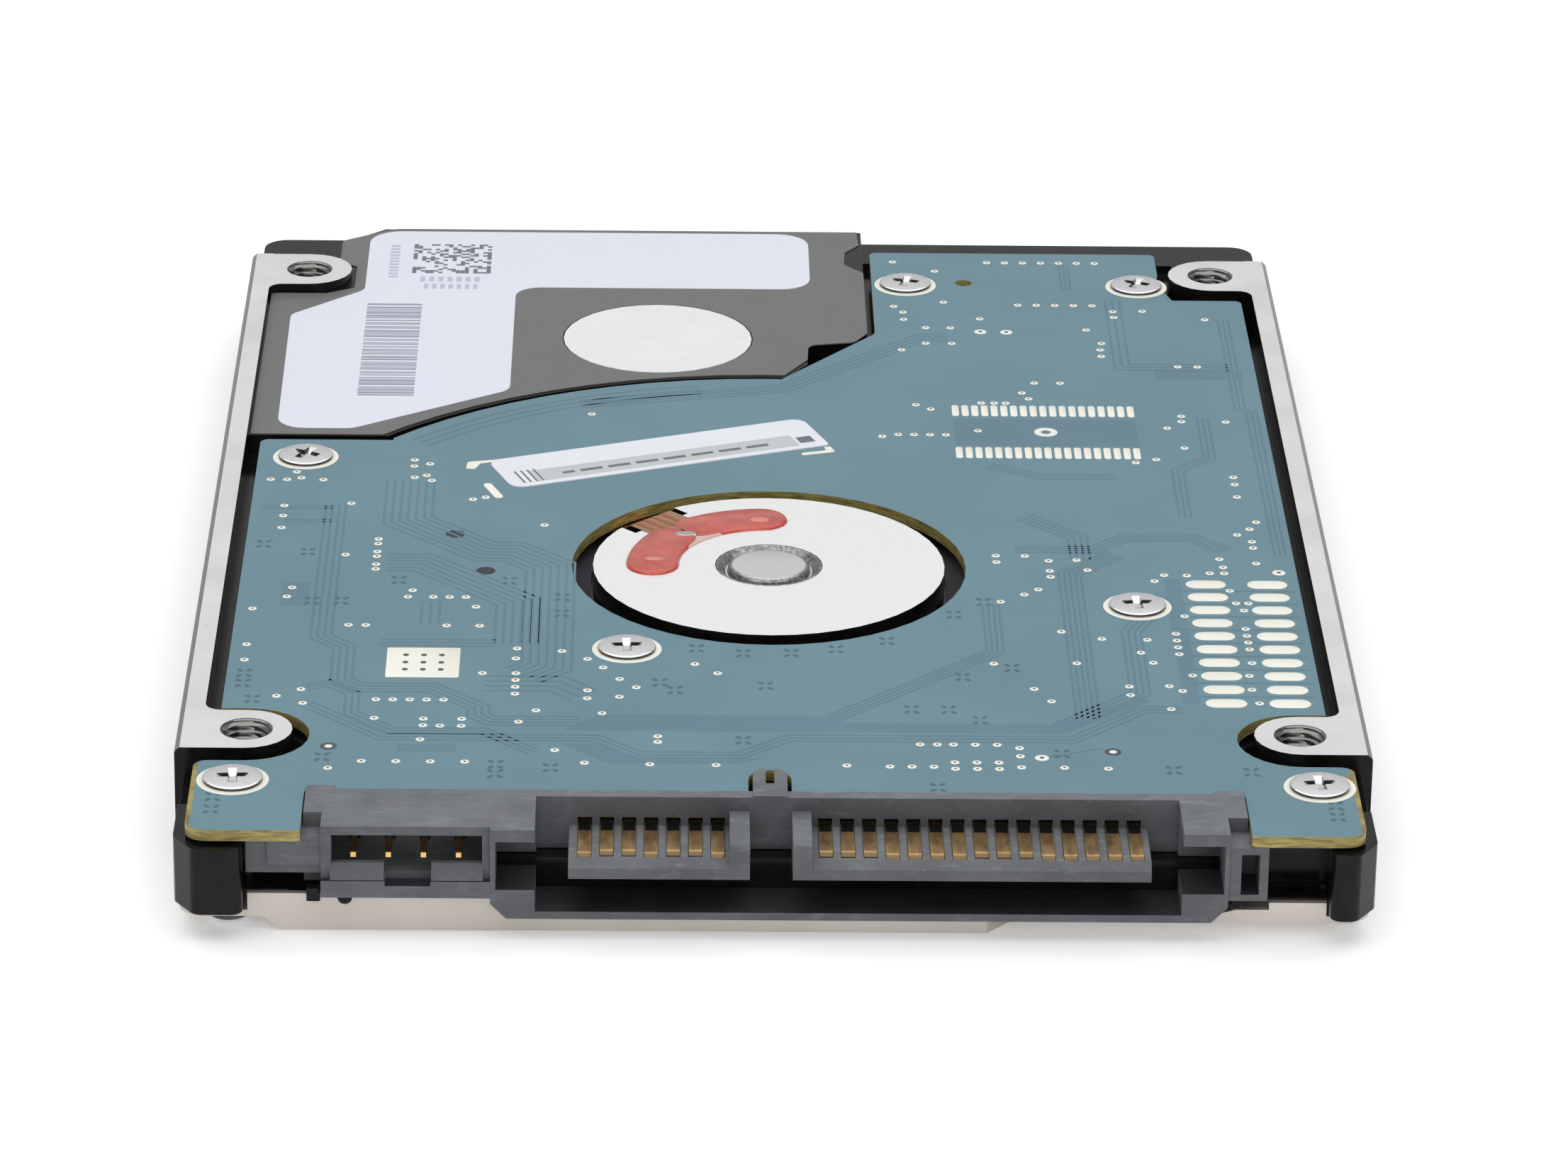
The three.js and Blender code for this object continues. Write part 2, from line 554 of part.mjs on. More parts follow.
function driveLabel() {
  const sheet = plate([
    [-33.3, 11.6], [-23.9, 11.6], [1.4, 22.6], [3, 25.5], [3.1, 28.2, 0.8], [6.2, 28.8, 0.8], [7.1, 30.5, 1],
    [7.1, 42], [5.8, 43.6, 0.8], [5.9, 46, 0.8], [6.9, 47.5], [6.8, HALF_Y - 0.1], [-25.4, HALF_Y - 0.1, 2],
    [-28.9, 47.6, 0.6], [-28.9, 43.5], [-27.7, 42.5], [-27.7, 38.4], [-29.6, 37.3], [-33.3, 37.3],
  ], LABEL_SEAT, LABEL_SEAT + FILM);
  return sheet.subtract(disc(SPINDLE, 33.1, 0, 8, 72)).subtract(disc(PIVOT, 6.4, 0, 8, 32));
}

function pivotSeal() {
  return disc(PIVOT, 6.3, LABEL_SEAT, LABEL_SEAT + FILM, 32);
}

function boardLabel() {
  const half = 10.85;
  const rise = 2.45;
  const strip = plate([
    [-half, -rise, 0.9], [half, -rise, 0.3], [half, rise, 0.9], [-half, rise, 0.9],
  ], BOARD_TOP, BOARD_TOP + FILM);
  return strip.rotate([0, 0, 21]).translate([-6.85, 8.05, 0]);
}

// ---------- spindle motor ----------

function motorSleeve() {
  return turned(SPINDLE, [
    [0, 2.6], [2.4, 2.6], [2.4, 4], [SLEEVE_RADIUS, 4.3], [SLEEVE_RADIUS, 6.5], [2.6, 6.66], [2.5, 6.56],
    [0, 6.56],
  ], 28).subtract(disc(SPINDLE, 1.3, 2, 6, 14));
}

function statorCore() {
  let core = ring(SPINDLE, MOTOR_NECK_RADIUS + 0.05, 4.5, 4.75, 5.35, 18);
  for (let i = 0; i < 9; i += 1) {
    const tooth = join(
      box(4.3, 6.6, -0.45, 0.45, 4.75, 5.35),
      box(6.3, 6.9, -1.5, 1.5, 4.75, 5.35),
    ).translate([...SPINDLE, 0]);
    core = core.add(turnAbout(tooth, SPINDLE, i * 40));
  }
  return core;
}

function statorWindings() {
  let coils = ring(SPINDLE, 4.62, 6.2, 4.3, 5.8, 18);
  coils = coils.subtract(ring(SPINDLE, 3, 4.7, 4.6, 5.5, 18));
  for (let i = 0; i < 9; i += 1) {
    const slot = box(4, 6.6, -0.5, 0.5, 4.7, 5.4).translate([...SPINDLE, 0]);
    coils = coils.subtract(turnAbout(slot, SPINDLE, i * 40));
  }
  return coils;
}

function spindleHub() {
  const rim = HUB_RADIUS;
  return turned(SPINDLE, [
    [0, 1.55], [rim - 0.3, 1.55], [rim, 1.75], [rim, PLATTER_TOP], [11, PLATTER_TOP], [11, 3.3], [8.6, 3.5],
    [8.6, 5.7], [8.15, 5.7], [8.15, 3.4], [7.6, 2.5], [1.2, 2.5], [1.2, 5.6], [0, 5.6],
  ], 32).subtract(disc(SPINDLE, PILOT_RADIUS, 1, 3, 8));
}

function rotorMagnet() {
  return ring(SPINDLE, 7.25, 8.12, 4.2, 5.6, 32);
}

function platter() {
  return ring(SPINDLE, HUB_RADIUS + 0.03, PLATTER_RADIUS, PLATTER_BOTTOM, PLATTER_TOP - 0.01, 56);
}

function diskClamp() {
  return turned(SPINDLE, [
    [1, 1.15], [10.2, 1.15], [11, 1.5], [11, 1.88], [10.3, 1.88], [10.1, 1.5], [1, 1.5], [1, 1.15],
  ], 28);
}

// ---------- head stack ----------

// Pieces of the head stack are drawn pointing along +X from the pivot, then turned to the park angle.
function park(solid) {
  return solid.rotate([0, 0, PARKED_ANGLE]).translate([...PIVOT, 0]);
}

function actuatorArm() {
  const hubBlock = disc([0, 0], 4.2, 1.1, 4.6, 24);
  const arm = (z0, z1) => plate([
    [-1, -4.1, 1], [8, -3.6], [24, -1.6, 1], [24, 1.6, 1], [8, 3.6], [-1, 4.1, 1],
  ], z0, z1);
  const fork = plate([
    [0, -4, 0.6], [-8, -7, 0.6], [-8.6, -5.8, 0.4], [-5, -2.5, 0.8], [-5, 2.5, 0.8], [-8.6, 5.8, 0.4],
    [-8, 7, 0.6], [0, 4, 0.6],
  ], 2.3, 3.4);
  const bore = disc([0, 0], 2.95, 0, 6, 20);
  return park(join(hubBlock, arm(1.1, 1.45), arm(3.15, 3.5), fork).subtract(bore));
}

function pivotBearing() {
  return park(ring([0, 0], 1.75, 2.9, 1, 5, 20));
}

function pivotShaft() {
  const post = disc(PIVOT, 1.6, 0.95, 5.7, 16).add(disc(PIVOT, 2.6, 5.2, VCM_CEILING - 0.02, 16));
  return post.subtract(disc(PIVOT, PILOT_RADIUS, 0, 3.6, 8));
}

// A piece of a flat ring, centred on the direction middle and reaching half degrees to each side.
function ringSector(centre, inner, outer, middle, half, z0, z1) {
  const wedge = plate([
    [0, 0], polar([0, 0], 40, middle - half), polar([0, 0], 60, middle), polar([0, 0], 40, middle + half),
  ], z0 - 1, z1 + 1);
  return ring(centre, inner, outer, z0, z1, 72).intersect(wedge.translate([...centre, 0]));
}

function voiceCoil() {
  const coil = ringSector([0, 0], COIL_INNER - 0.8, COIL_OUTER, 180, 19, 2.35, 3.35);
  return park(coil.subtract(ringSector([0, 0], COIL_INNER + 1.6, COIL_OUTER - 2.4, 180, 10, 0, 6)));
}

function suspension(z0, z1) {
  return park(plate([
    [20, -1.4], [24.4, -1.4], [36.5, -0.45], [40.2, -0.25], [40.2, 0.25], [36.5, 0.45], [24.4, 1.4],
    [20, 1.4],
  ], z0, z1));
}

function headSlider(z0, z1) {
  return park(box(ARM_LENGTH - 0.42, ARM_LENGTH + 0.42, -0.35, 0.35, z0, z1));
}

function vcmPlate(z0, z1) {
  return plate([
    [-24.6, 27.2, 1], [-17, 28.6], [-11.5, 33], [-9, 38.4], [-9.4, 45.6, 1], [-20, 45.6, 3], [-24.6, 40, 3],
  ], z0, z1);
}

function vcmMagnet() {
  return ringSector(PIVOT, 10.6, 17.2, 135.5, 29, 4, 4.9);
}

function loadRamp() {
  const foot = plate([
    [27.6, 9.4, 0.5], [31.4, 9.4, 0.5], [31.4, 16.4, 0.5], [28.6, 16.4, 0.5],
  ], 1.3, 4.15, 3);
  const jaw = box(26, 30.3, 9.6, 11.4, 0.75, 4.15);
  const gap = box(25, 29.4, 8, 12, 1.2, 3.55);
  return foot.add(jaw).subtract(gap);
}

function crashStop() {
  return disc([-3.9, 41.4], 1.2, 1.1, 4.2, 12).add(disc([-3.9, 41.4], 0.8, 4.1, VCM_CEILING - 0.03, 12));
}

// The connector that carries the head signals through the floor to the board.
function headConnector() {
  const inside = plate([
    [13.6, 33.6, 0.4], [24.4, 33.6, 0.4], [24.4, 37.4, 0.4], [13.6, 37.4, 0.4],
  ], 2.4, FLOOR_INSIDE - 0.02, 3);
  return inside.add(box(14.5, 23.5, 34.3, 36.7, 4, BOARD_BOTTOM - 0.05));
}

function headFlex() {
  const path = new THREE.CatmullRomCurve3([
    [-2.4, 31.2], [0.4, 33.4], [4, 36.4], [8.6, 37.4], [13.2, 35.6],
  ].map(([x, y]) => new THREE.Vector3(x, y, 3)));
  const section = new THREE.Shape([
    new THREE.Vector2(-0.9, -0.08), new THREE.Vector2(0.9, -0.08), new THREE.Vector2(0.9, 0.08),
    new THREE.Vector2(-0.9, 0.08),
  ]);
  const geometry = new THREE.ExtrudeGeometry(section, { steps: 14, bevelEnabled: false, extrudePath: path });
  return toSolid(geometry);
}

function actuatorLatch() {
  const lever = plate([
    [-2.2, -0.9, 0.5], [5, -0.7, 0.6], [5, 0.7, 0.6], [-2.2, 0.9, 0.5],
  ], 2.4, 3.4, 3).add(disc([0, 0], 1.5, 2, 3.8, 14)).subtract(disc([0, 0], 0.75, 0, 6, 10));
  return lever.rotate([0, 0, 176]).translate([...LATCH_PIVOT, 0]);
}

function latchPin() {
  return disc(LATCH_PIVOT, 0.65, 1.3, VCM_CEILING - 0.03, 10);
}

function filterPad(x0, x1, y0, y1, z0, z1) {
  return plate([[x0, y0, 0.6], [x1, y0, 0.6], [x1, y1, 0.6], [x0, y1, 0.6]], z0, z1, 3);
}

// ---------- motor connection ----------

function motorFlex() {
  const strip = barAlongX(-2.05, 2.05, [
    [6.2, MOTOR_FACE], [9.45, MOTOR_FACE], [11.2, 5.5], [15.2, 5.5], [15.2, 5.62], [11.25, 5.62],
    [9.5, MOTOR_FACE + 0.12], [6.2, MOTOR_FACE + 0.12],
  ]);
  return strip.rotate([0, 0, FLEX_ANGLE - 90]).translate([...SPINDLE, 0]);
}

// A bead of potting resin laid in an arc over the motor's solder joints.
function motorResin() {
  const inner = 5.5;
  const outer = 8.9;
  const from = 88;
  const to = 184;
  const bow = ring(SPINDLE, inner, outer, MOTOR_FACE, MOTOR_FACE + 0.2, 48);
  const middle = (from + to) / 2;
  const wedge = plate([
    [0, 0], polar([0, 0], 20, from), polar([0, 0], 30, middle), polar([0, 0], 20, to),
  ], 6, 8);
  const arc = bow.intersect(wedge.translate([...SPINDLE, 0]));
  const end = (degrees) => disc(
    polar(SPINDLE, (inner + outer) / 2, degrees), (outer - inner) / 2, MOTOR_FACE, MOTOR_FACE + 0.2, 16,
  );
  const flexRoom = motorFlexRoom();
  return join(arc, end(from), end(to)).subtract(flexRoom);
}

function motorFlexRoom() {
  return box(6, 12, -2.12, 2.12, 6, MOTOR_FACE + 0.14).rotate([0, 0, FLEX_ANGLE]).translate([...SPINDLE, 0]);
}

// ---------- assembly ----------

const drive = new THREE.Group();
drive.name = 'hard_disk_drive';

function addPart(name, solid, colour, roughness, metalness) {
  const material = new THREE.MeshStandardMaterial({ color: colour, roughness, metalness });
  const mesh = new THREE.Mesh(toGeometry(solid), material);
  mesh.name = name;
  drive.add(mesh);
}

// Enclosure
addPart('base_casting', baseCasting(), 0x161616, 0.35, 0.6);
addPart('top_cover', topCover(), 0xc8bfb6, 0.35, 0.9);
addPart('cover_gasket', coverGasket(), 0x222222, 0.8, 0);
COVER_SCREWS.forEach((at, i) => {
  const screw = panScrew(at, FLANGE_BOTTOM, 0.15, 3.3, false, COVER_HEAD_RADIUS);
  addPart(`cover_screw_${i + 1}`, screw, 0xd0d0d0, 0.3, 1);
});
addPart('pivot_screw', panScrew(PIVOT, 0.5, 0.1, 3.2, false), 0xd0d0d0, 0.3, 1);
addPart('drive_label', driveLabel(), 0x808080, 0.6, 0);
addPart('pivot_seal', pivotSeal(), 0xe6e6e6, 0.6, 0);

// Electronics
addPart('circuit_board', circuitBoard(), 0x70929d, 0.5, 0);
BOARD_SCREWS.forEach((at, i) => {
  addPart(`board_screw_${i + 1}`, panScrew(at, BOARD_TOP, HEIGHT, 4.7, true), 0xd8d8d8, 0.3, 1);
});
addPart('board_label', boardLabel(), 0xe8e8ea, 0.6, 0);
addPart('board_insulator', boardInsulator(), 0x3a3a3c, 0.8, 0);
addPart('controller_chip', underBoardChip(17.5, 27.5, -5, 5, 0.85), 0x18181a, 0.5, 0);
addPart('motor_driver_chip', underBoardChip(-24, -17.9, -28.6, -22.5, 0.8), 0x18181a, 0.5, 0);
addPart('cache_chip', underBoardChip(12.4, 24.2, 8, 16.6, 0.85), 0x18181a, 0.5, 0);
addPart('flash_chip', underBoardChip(-28, -22.4, -9, -4, 0.75), 0x18181a, 0.5, 0);
addPart('sata_housing', sataHousing(), 0x4a4c52, 0.6, 0);
addPart('signal_contacts', contactRow(SIGNAL_FIRST_X, SIGNAL_COUNT, [0, 3, 6]), 0xb08a4e, 0.3, 1);
addPart('power_contacts', contactRow(POWER_FIRST_X, POWER_COUNT, [3, 9, 11]), 0xb08a4e, 0.3, 1);
addPart('jumper_pins', jumperPins(), 0xd9a050, 0.25, 1);

// Spindle motor
addPart('motor_sleeve', motorSleeve(), 0xcfcfcf, 0.25, 1);
addPart('stator_core', statorCore(), 0x6a6c70, 0.5, 0.8);
addPart('stator_windings', statorWindings(), 0xa8602c, 0.35, 0.8);
addPart('motor_flex', motorFlex(), 0xb9793f, 0.4, 0.3);
addPart('motor_resin', motorResin(), 0xbe5a4b, 0.15, 0);
addPart('spindle_hub', spindleHub(), 0xd2d2d2, 0.2, 1);
addPart('rotor_magnet', rotorMagnet(), 0x3c3c40, 0.4, 0.6);
addPart('platter', platter(), 0xb9bcc0, 0.05, 1);
addPart('disk_clamp', diskClamp(), 0xc4c6c8, 0.25, 1);
addPart('clamp_screw', panScrew(SPINDLE, 1.12, 0.72, 2.8, false, CLAMP_HEAD_RADIUS), 0xb8b8b8, 0.3, 1);

// Head stack
addPart('actuator_arm', actuatorArm(), 0xb6b8ba, 0.35, 0.9);
addPart('pivot_bearing', pivotBearing(), 0x9a9ca0, 0.25, 1);
addPart('voice_coil', voiceCoil(), 0xb0662c, 0.3, 0.8);
addPart('cover_side_suspension', suspension(1.47, 1.55), 0xc0c2c4, 0.3, 1);
addPart('board_side_suspension', suspension(3.04, 3.13), 0xc0c2c4, 0.3, 1);
addPart('cover_side_slider', headSlider(1.57, 1.86), 0x2a2a2e, 0.4, 0.2);
addPart('board_side_slider', headSlider(2.73, 3.02), 0x2a2a2e, 0.4, 0.2);
addPart('pivot_shaft', pivotShaft(), 0xb0b2b4, 0.3, 1);
addPart('head_flex', headFlex(), 0xb9793f, 0.5, 0.1);
addPart('head_connector', headConnector(), 0x2a2a2c, 0.6, 0);

// Voice coil motor and chamber fittings
addPart('vcm_cover_side_plate', vcmPlate(0.85, 1.5), 0xbfc1c3, 0.35, 0.9);
addPart('vcm_board_side_plate', vcmPlate(4.92, 5.7), 0xbfc1c3, 0.35, 0.9);
addPart('vcm_magnet', vcmMagnet(), 0xa9abae, 0.3, 0.9);
addPart('load_ramp', loadRamp(), 0xd8d0b8, 0.5, 0);
addPart('crash_stop', crashStop(), 0x202020, 0.9, 0);
addPart('actuator_latch', actuatorLatch(), 0x2b2b2e, 0.6, 0);
addPart('latch_pin', latchPin(), 0xb0b2b4, 0.3, 1);
addPart('recirculation_filter', filterPad(28.4, 31.4, 21.6, 29.4, 1.3, 4.15), 0xf0f0ee, 0.95, 0);
addPart('breather_filter', filterPad(27.9, 31.6, 30.6, 35.6, 1.3, 4.15), 0x1e1e20, 0.9, 0);

export default drive;
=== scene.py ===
"""A slim 2.5-inch hard disk drive lying on its cover, circuit board up.

Lengths are in mm unless a name says otherwise.
"""
import math
import random

import bpy
import bmesh
from mathutils import Matrix, Vector


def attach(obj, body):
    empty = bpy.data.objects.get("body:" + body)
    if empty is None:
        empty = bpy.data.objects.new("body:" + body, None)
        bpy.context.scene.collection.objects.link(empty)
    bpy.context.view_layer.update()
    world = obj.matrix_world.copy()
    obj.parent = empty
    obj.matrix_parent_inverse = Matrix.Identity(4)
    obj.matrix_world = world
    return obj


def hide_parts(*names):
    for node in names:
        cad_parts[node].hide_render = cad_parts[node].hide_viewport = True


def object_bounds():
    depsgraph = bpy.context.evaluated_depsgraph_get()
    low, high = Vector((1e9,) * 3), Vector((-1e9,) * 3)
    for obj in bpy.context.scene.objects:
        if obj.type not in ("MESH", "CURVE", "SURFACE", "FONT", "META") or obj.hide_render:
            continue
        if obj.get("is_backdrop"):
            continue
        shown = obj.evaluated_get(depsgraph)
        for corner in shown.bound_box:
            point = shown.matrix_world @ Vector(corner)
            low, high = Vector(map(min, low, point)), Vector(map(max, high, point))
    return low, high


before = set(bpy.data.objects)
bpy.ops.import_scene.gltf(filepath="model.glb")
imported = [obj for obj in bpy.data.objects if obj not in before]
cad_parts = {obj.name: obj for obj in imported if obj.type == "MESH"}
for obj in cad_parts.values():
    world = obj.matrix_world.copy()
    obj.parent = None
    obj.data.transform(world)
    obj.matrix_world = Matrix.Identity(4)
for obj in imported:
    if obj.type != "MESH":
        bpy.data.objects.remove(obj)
cad_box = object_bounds()

MM = 0.001
BODY = "chassis"

# Main faces and centres, as on the CAD part
TOP = 7.0
BOARD_TOP = 6.65
LABEL_TOP = 6.42
MOTOR_FACE = 6.72
SPINDLE = (0.0, -10.4)
PIVOT = (-7.0, 29.25)
MOUNT_X = 30.86
MOUNT_NEAR_Y = -36.175
MOUNT_FAR_Y = 40.425
MOUNTS = [(x, y) for x in (-MOUNT_X, MOUNT_X) for y in (MOUNT_NEAR_Y, MOUNT_FAR_Y)]
BOARD_SCREWS = [
    (-29.5, 7), (9.9, 39.1), (25.7, 39), (22.5, -16.4), (-8.7, -23.4), (-31.3, -42.6), (31.5, -42.7),
]
COVER_SCREWS = [(-31.35, -46.8), (32.9, -46.2), (-32, 3), (32, 3), (-31.6, 47), (31.6, 47)]
CONTACT_PITCH = 1.27
SIGNAL_XS = [-10.95 + i * CONTACT_PITCH for i in range(7)]
POWER_XS = [2.85 + i * CONTACT_PITCH for i in range(15)]
JUMPER_XS = [-24.1 + i * 2.0 for i in range(4)]


# ---------- camera ----------

def place_camera():
    """Looks along +Y from the connector end, 23 degrees down, with a long lens."""
    azimuth = math.radians(-1.098)
    elevation = math.radians(23.113)
    roll = math.radians(0.8347)
    distance = 446.332
    target = Vector((0, 0, TOP))
    offset_right = 1.0767
    offset_up = -5.7617
    back = Vector((
        math.sin(azimuth) * math.cos(elevation),
        -math.cos(azimuth) * math.cos(elevation),
        math.sin(elevation),
    ))
    level = (-back).cross(Vector((0, 0, 1))).normalized()
    above = level.cross(-back)
    right = level * math.cos(roll) + above * math.sin(roll)
    up = above * math.cos(roll) - level * math.sin(roll)
    eye = target + back * distance + right * offset_right + up * offset_up
    camera = bpy.data.cameras.new("camera")
    camera.sensor_width = 36
    camera.lens = 161.92
    camera.clip_start = 0.01
    camera.clip_end = 20
    holder = bpy.data.objects.new("camera", camera)
    turn = Matrix((right, up, back)).transposed().to_4x4()
    holder.matrix_world = Matrix.Translation(eye * MM) @ turn
    bpy.context.scene.collection.objects.link(holder)
    bpy.context.scene.camera = holder


# ---------- materials ----------

class Nodes:
    """A short way to write a node tree."""

    def __init__(self, name):
        self.material = bpy.data.materials.new(name)
        self.material.use_nodes = True
        self.tree = self.material.node_tree
        self.shader = self.tree.nodes["Principled BSDF"]
        self.place = self.add("ShaderNodeTexCoord").outputs["Object"]

    def add(self, kind, **values):
        node = self.tree.nodes.new(kind)
        for key, value in values.items():
            setattr(node, key, value)
        return node

    def link(self, start, end):
        self.tree.links.new(start, end)

    def scaled(self, size_mm, stretch=(1, 1, 1)):
        """Object coordinates with one texture cell per size_mm."""
        mapping = self.add("ShaderNodeMapping")
        mapping.inputs["Scale"].default_value = [1 / (size_mm * MM) * s for s in stretch]
        self.link(self.place, mapping.inputs["Vector"])
        return mapping.outputs["Vector"]

    def noise(self, size_mm, detail=3.0, stretch=(1, 1, 1), rough=0.55):
        node = self.add("ShaderNodeTexNoise")
        node.inputs["Scale"].default_value = 1.0
        node.inputs["Detail"].default_value = detail
        node.inputs["Roughness"].default_value = rough
        self.link(self.scaled(size_mm, stretch), node.inputs["Vector"])
        return node.outputs["Fac"]

    def range(self, value, low, high, out_low=0.0, out_high=1.0):
        node = self.add("ShaderNodeMapRange")
        for key, number in zip(("From Min", "From Max", "To Min", "To Max"), (low, high, out_low, out_high)):
            node.inputs[key].default_value = number
        self.link(value, node.inputs["Value"])
        return node.outputs["Result"]

    def math(self, operation, a, b=None):
        node = self.add("ShaderNodeMath", operation=operation)
        for socket, value in zip(node.inputs, (a, b)):
            if value is None:
                continue
            if isinstance(value, (int, float)):
                socket.default_value = value
            else:
                self.link(value, socket)
        return node.outputs["Value"]

    def mix(self, factor, a, b):
        node = self.add("ShaderNodeMix", data_type="RGBA")
        for socket, value in ((node.inputs["Factor"], factor), (node.inputs["A"], a), (node.inputs["B"], b)):
            if isinstance(value, (int, float)):
                socket.default_value = value
            elif isinstance(value, (tuple, list)):
                socket.default_value = (*value[:3], 1)
            else:
                self.link(value, socket)
        return node.outputs["Result"]

    def axes(self, source=None):
        node = self.add("ShaderNodeSeparateXYZ")
        self.link(source or self.place, node.inputs["Vector"])
        return node.outputs

    def normals(self):
        """The three parts of the surface normal, in the part's own frame."""
        return self.axes(self.add("ShaderNodeTexCoord").outputs["Normal"])

    def bump(self, height, strength, distance_mm):
        node = self.add("ShaderNodeBump")
        node.inputs["Strength"].default_value = strength
        node.inputs["Distance"].default_value = distance_mm * MM
        self.link(height, node.inputs["Height"])
        self.link(node.outputs["Normal"], self.shader.inputs["Normal"])

    def colour(self, value):
        self.link(value, self.shader.inputs["Base Color"])

    def roughness(self, value):
        if isinstance(value, (int, float)):
            self.shader.inputs["Roughness"].default_value = value
        else:
            self.link(value, self.shader.inputs["Roughness"])


def rgb(red, green, blue):
    """A colour given as display values from 0 to 255, as the linear values that nodes use."""
    def linear(value):
        value /= 255
        return value / 12.92 if value <= 0.04045 else ((value + 0.055) / 1.055) ** 2.4
    return (linear(red), linear(green), linear(blue))


def shade(colour, factor):
    return tuple(min(channel * factor, 1) for channel in colour)


def metal(name, colour, rough=0.25, grain_mm=0.4, stretch=(1, 1, 1), bump=0.12, spread=0.12):
    """Bare metal with fine grain: its roughness and tone vary along the grain."""
    nodes = Nodes(name)
    grain = nodes.noise(grain_mm, 4, stretch)
    cloud = nodes.noise(grain_mm * 12, 2)
    nodes.colour(nodes.mix(nodes.range(cloud, 0.3, 0.7), shade(colour, 0.9), shade(colour, 1.05)))
    nodes.roughness(nodes.range(grain, 0.25, 0.75, max(rough - spread / 2, 0.02), rough + spread / 2))
    nodes.shader.inputs["Metallic"].default_value = 1
    nodes.bump(grain, bump, 0.01)
    return nodes.material


def plastic(name, colour, rough=0.5, grain_mm=0.25, bump=0.2, vary=0.12, specular=0.5):
    """Moulded plastic, resin or rubber with a fine texture and a slow change of tone."""
    nodes = Nodes(name)
    grain = nodes.noise(grain_mm, 3)
    cloud = nodes.noise(grain_mm * 14, 3)
    nodes.colour(nodes.mix(nodes.range(cloud, 0.3, 0.7), shade(colour, 1 - vary), shade(colour, 1 + vary)))
    nodes.roughness(nodes.range(grain, 0.3, 0.7, max(rough - 0.06, 0.02), min(rough + 0.06, 1)))
    nodes.shader.inputs["Specular IOR Level"].default_value = specular
    nodes.bump(grain, bump, 0.01)
    return nodes.material


RESIST = rgb(100, 134, 146)
RESIST_EDGE_X = 33.4
MACHINED_Z = 6.7
MOTOR_RIM_Z = 6.76


def casting_material():
    """Die cast aluminium under glossy black, with bare machined faces where a cutter has levelled it."""
    nodes = Nodes("base_casting")
    axes = nodes.axes()
    normal = nodes.normals()
    flat = nodes.range(normal["Z"], 0.9, 0.98)
    high = nodes.range(axes["Z"], (MACHINED_Z - 0.04) * MM, MACHINED_Z * MM)
    grain = nodes.noise(0.3, 4)
    speck = nodes.noise(1.6, 5)
    bare = nodes.math("MULTIPLY", flat, high)
    black = nodes.mix(nodes.range(speck, 0.35, 0.7), rgb(13, 12, 12), rgb(26, 25, 24))
    tone = nodes.noise(5, 2)
    bright = nodes.mix(nodes.range(tone, 0.35, 0.65), rgb(222, 222, 222), rgb(232, 232, 232))
    scuff = nodes.range(nodes.noise(0.5, 4, (1, 0.2, 1)), 0.66, 0.8)
    bright = nodes.mix(scuff, bright, rgb(198, 198, 198))
    motor = nodes.range(axes["Z"], (MOTOR_RIM_Z + 0.04) * MM, MOTOR_RIM_Z * MM)
    bright = nodes.mix(motor, bright, rgb(246, 246, 246))
    nodes.colour(nodes.mix(bare, black, bright))
    nodes.link(nodes.math("MULTIPLY", bare, 0.55), nodes.shader.inputs["Metallic"])
    smooth = nodes.range(grain, 0.3, 0.7, 0.12, 0.2)
    nodes.roughness(nodes.math("ADD", smooth, nodes.math("MULTIPLY", bare, 0.28)))
    nodes.shader.inputs["Specular IOR Level"].default_value = 0.16
    nodes.bump(grain, 0.12, 0.015)
    return nodes.material


def resist_material(name, colour):
    """Solder resist over glass laminate, with the olive laminate showing on every cut edge."""
    nodes = Nodes(name)
    normal = nodes.normals()
    face = nodes.range(nodes.math("ABSOLUTE", normal["Z"]), 0.75, 0.9)
    cloud = nodes.noise(9, 2)
    grain = nodes.noise(0.22, 3)
    resist = nodes.mix(nodes.range(cloud, 0.35, 0.65), shade(colour, 0.96), shade(colour, 1.04))
    layers = nodes.noise(1.2, 3, (1, 1, 8))
    laminate = nodes.mix(nodes.range(layers, 0.35, 0.65), rgb(118, 106, 60), rgb(168, 152, 92))
    across = nodes.math("ABSOLUTE", nodes.axes()["X"])
    side = nodes.range(across, RESIST_EDGE_X * MM, (RESIST_EDGE_X + 0.04) * MM)
    covered = nodes.math("MULTIPLY", face, nodes.math("SUBTRACT", 1, side))
    nodes.colour(nodes.mix(covered, laminate, resist))
    nodes.roughness(nodes.range(grain, 0.3, 0.7, 0.34, 0.4))
    nodes.shader.inputs["Specular IOR Level"].default_value = 0.3
    nodes.bump(grain, 0.08, 0.006)
    return nodes.material


def screw_material():
    """Nickel plated steel: a satin flat head, with a painted highlight on the rim and painted shade on the
    upright walls of the recess.
    """
    nodes = Nodes("screw_steel")
    normal = nodes.normals()
    flat = nodes.range(nodes.math("ABSOLUTE", normal["Z"]), 0.9, 0.99)
    grain = nodes.noise(0.2, 3)
    satin = nodes.mix(nodes.range(grain, 0.35, 0.65), rgb(222, 222, 225), rgb(232, 232, 235))
    # Painted light: upright faces, as in the recess, get painted shade, and the other sloping faces such as
    # the rim a painted highlight.
    upright = nodes.range(nodes.math("ABSOLUTE", normal["Z"]), 0.6, 0.45)
    rim_highlight_and_recess_shade = nodes.mix(upright, rgb(244, 242, 240), rgb(96, 94, 94))
    nodes.colour(nodes.mix(flat, rim_highlight_and_recess_shade, satin))
    nodes.roughness(nodes.range(flat, 0, 1, 0.12, 0.38))
    nodes.shader.inputs["Metallic"].default_value = 0.9
    return nodes.material


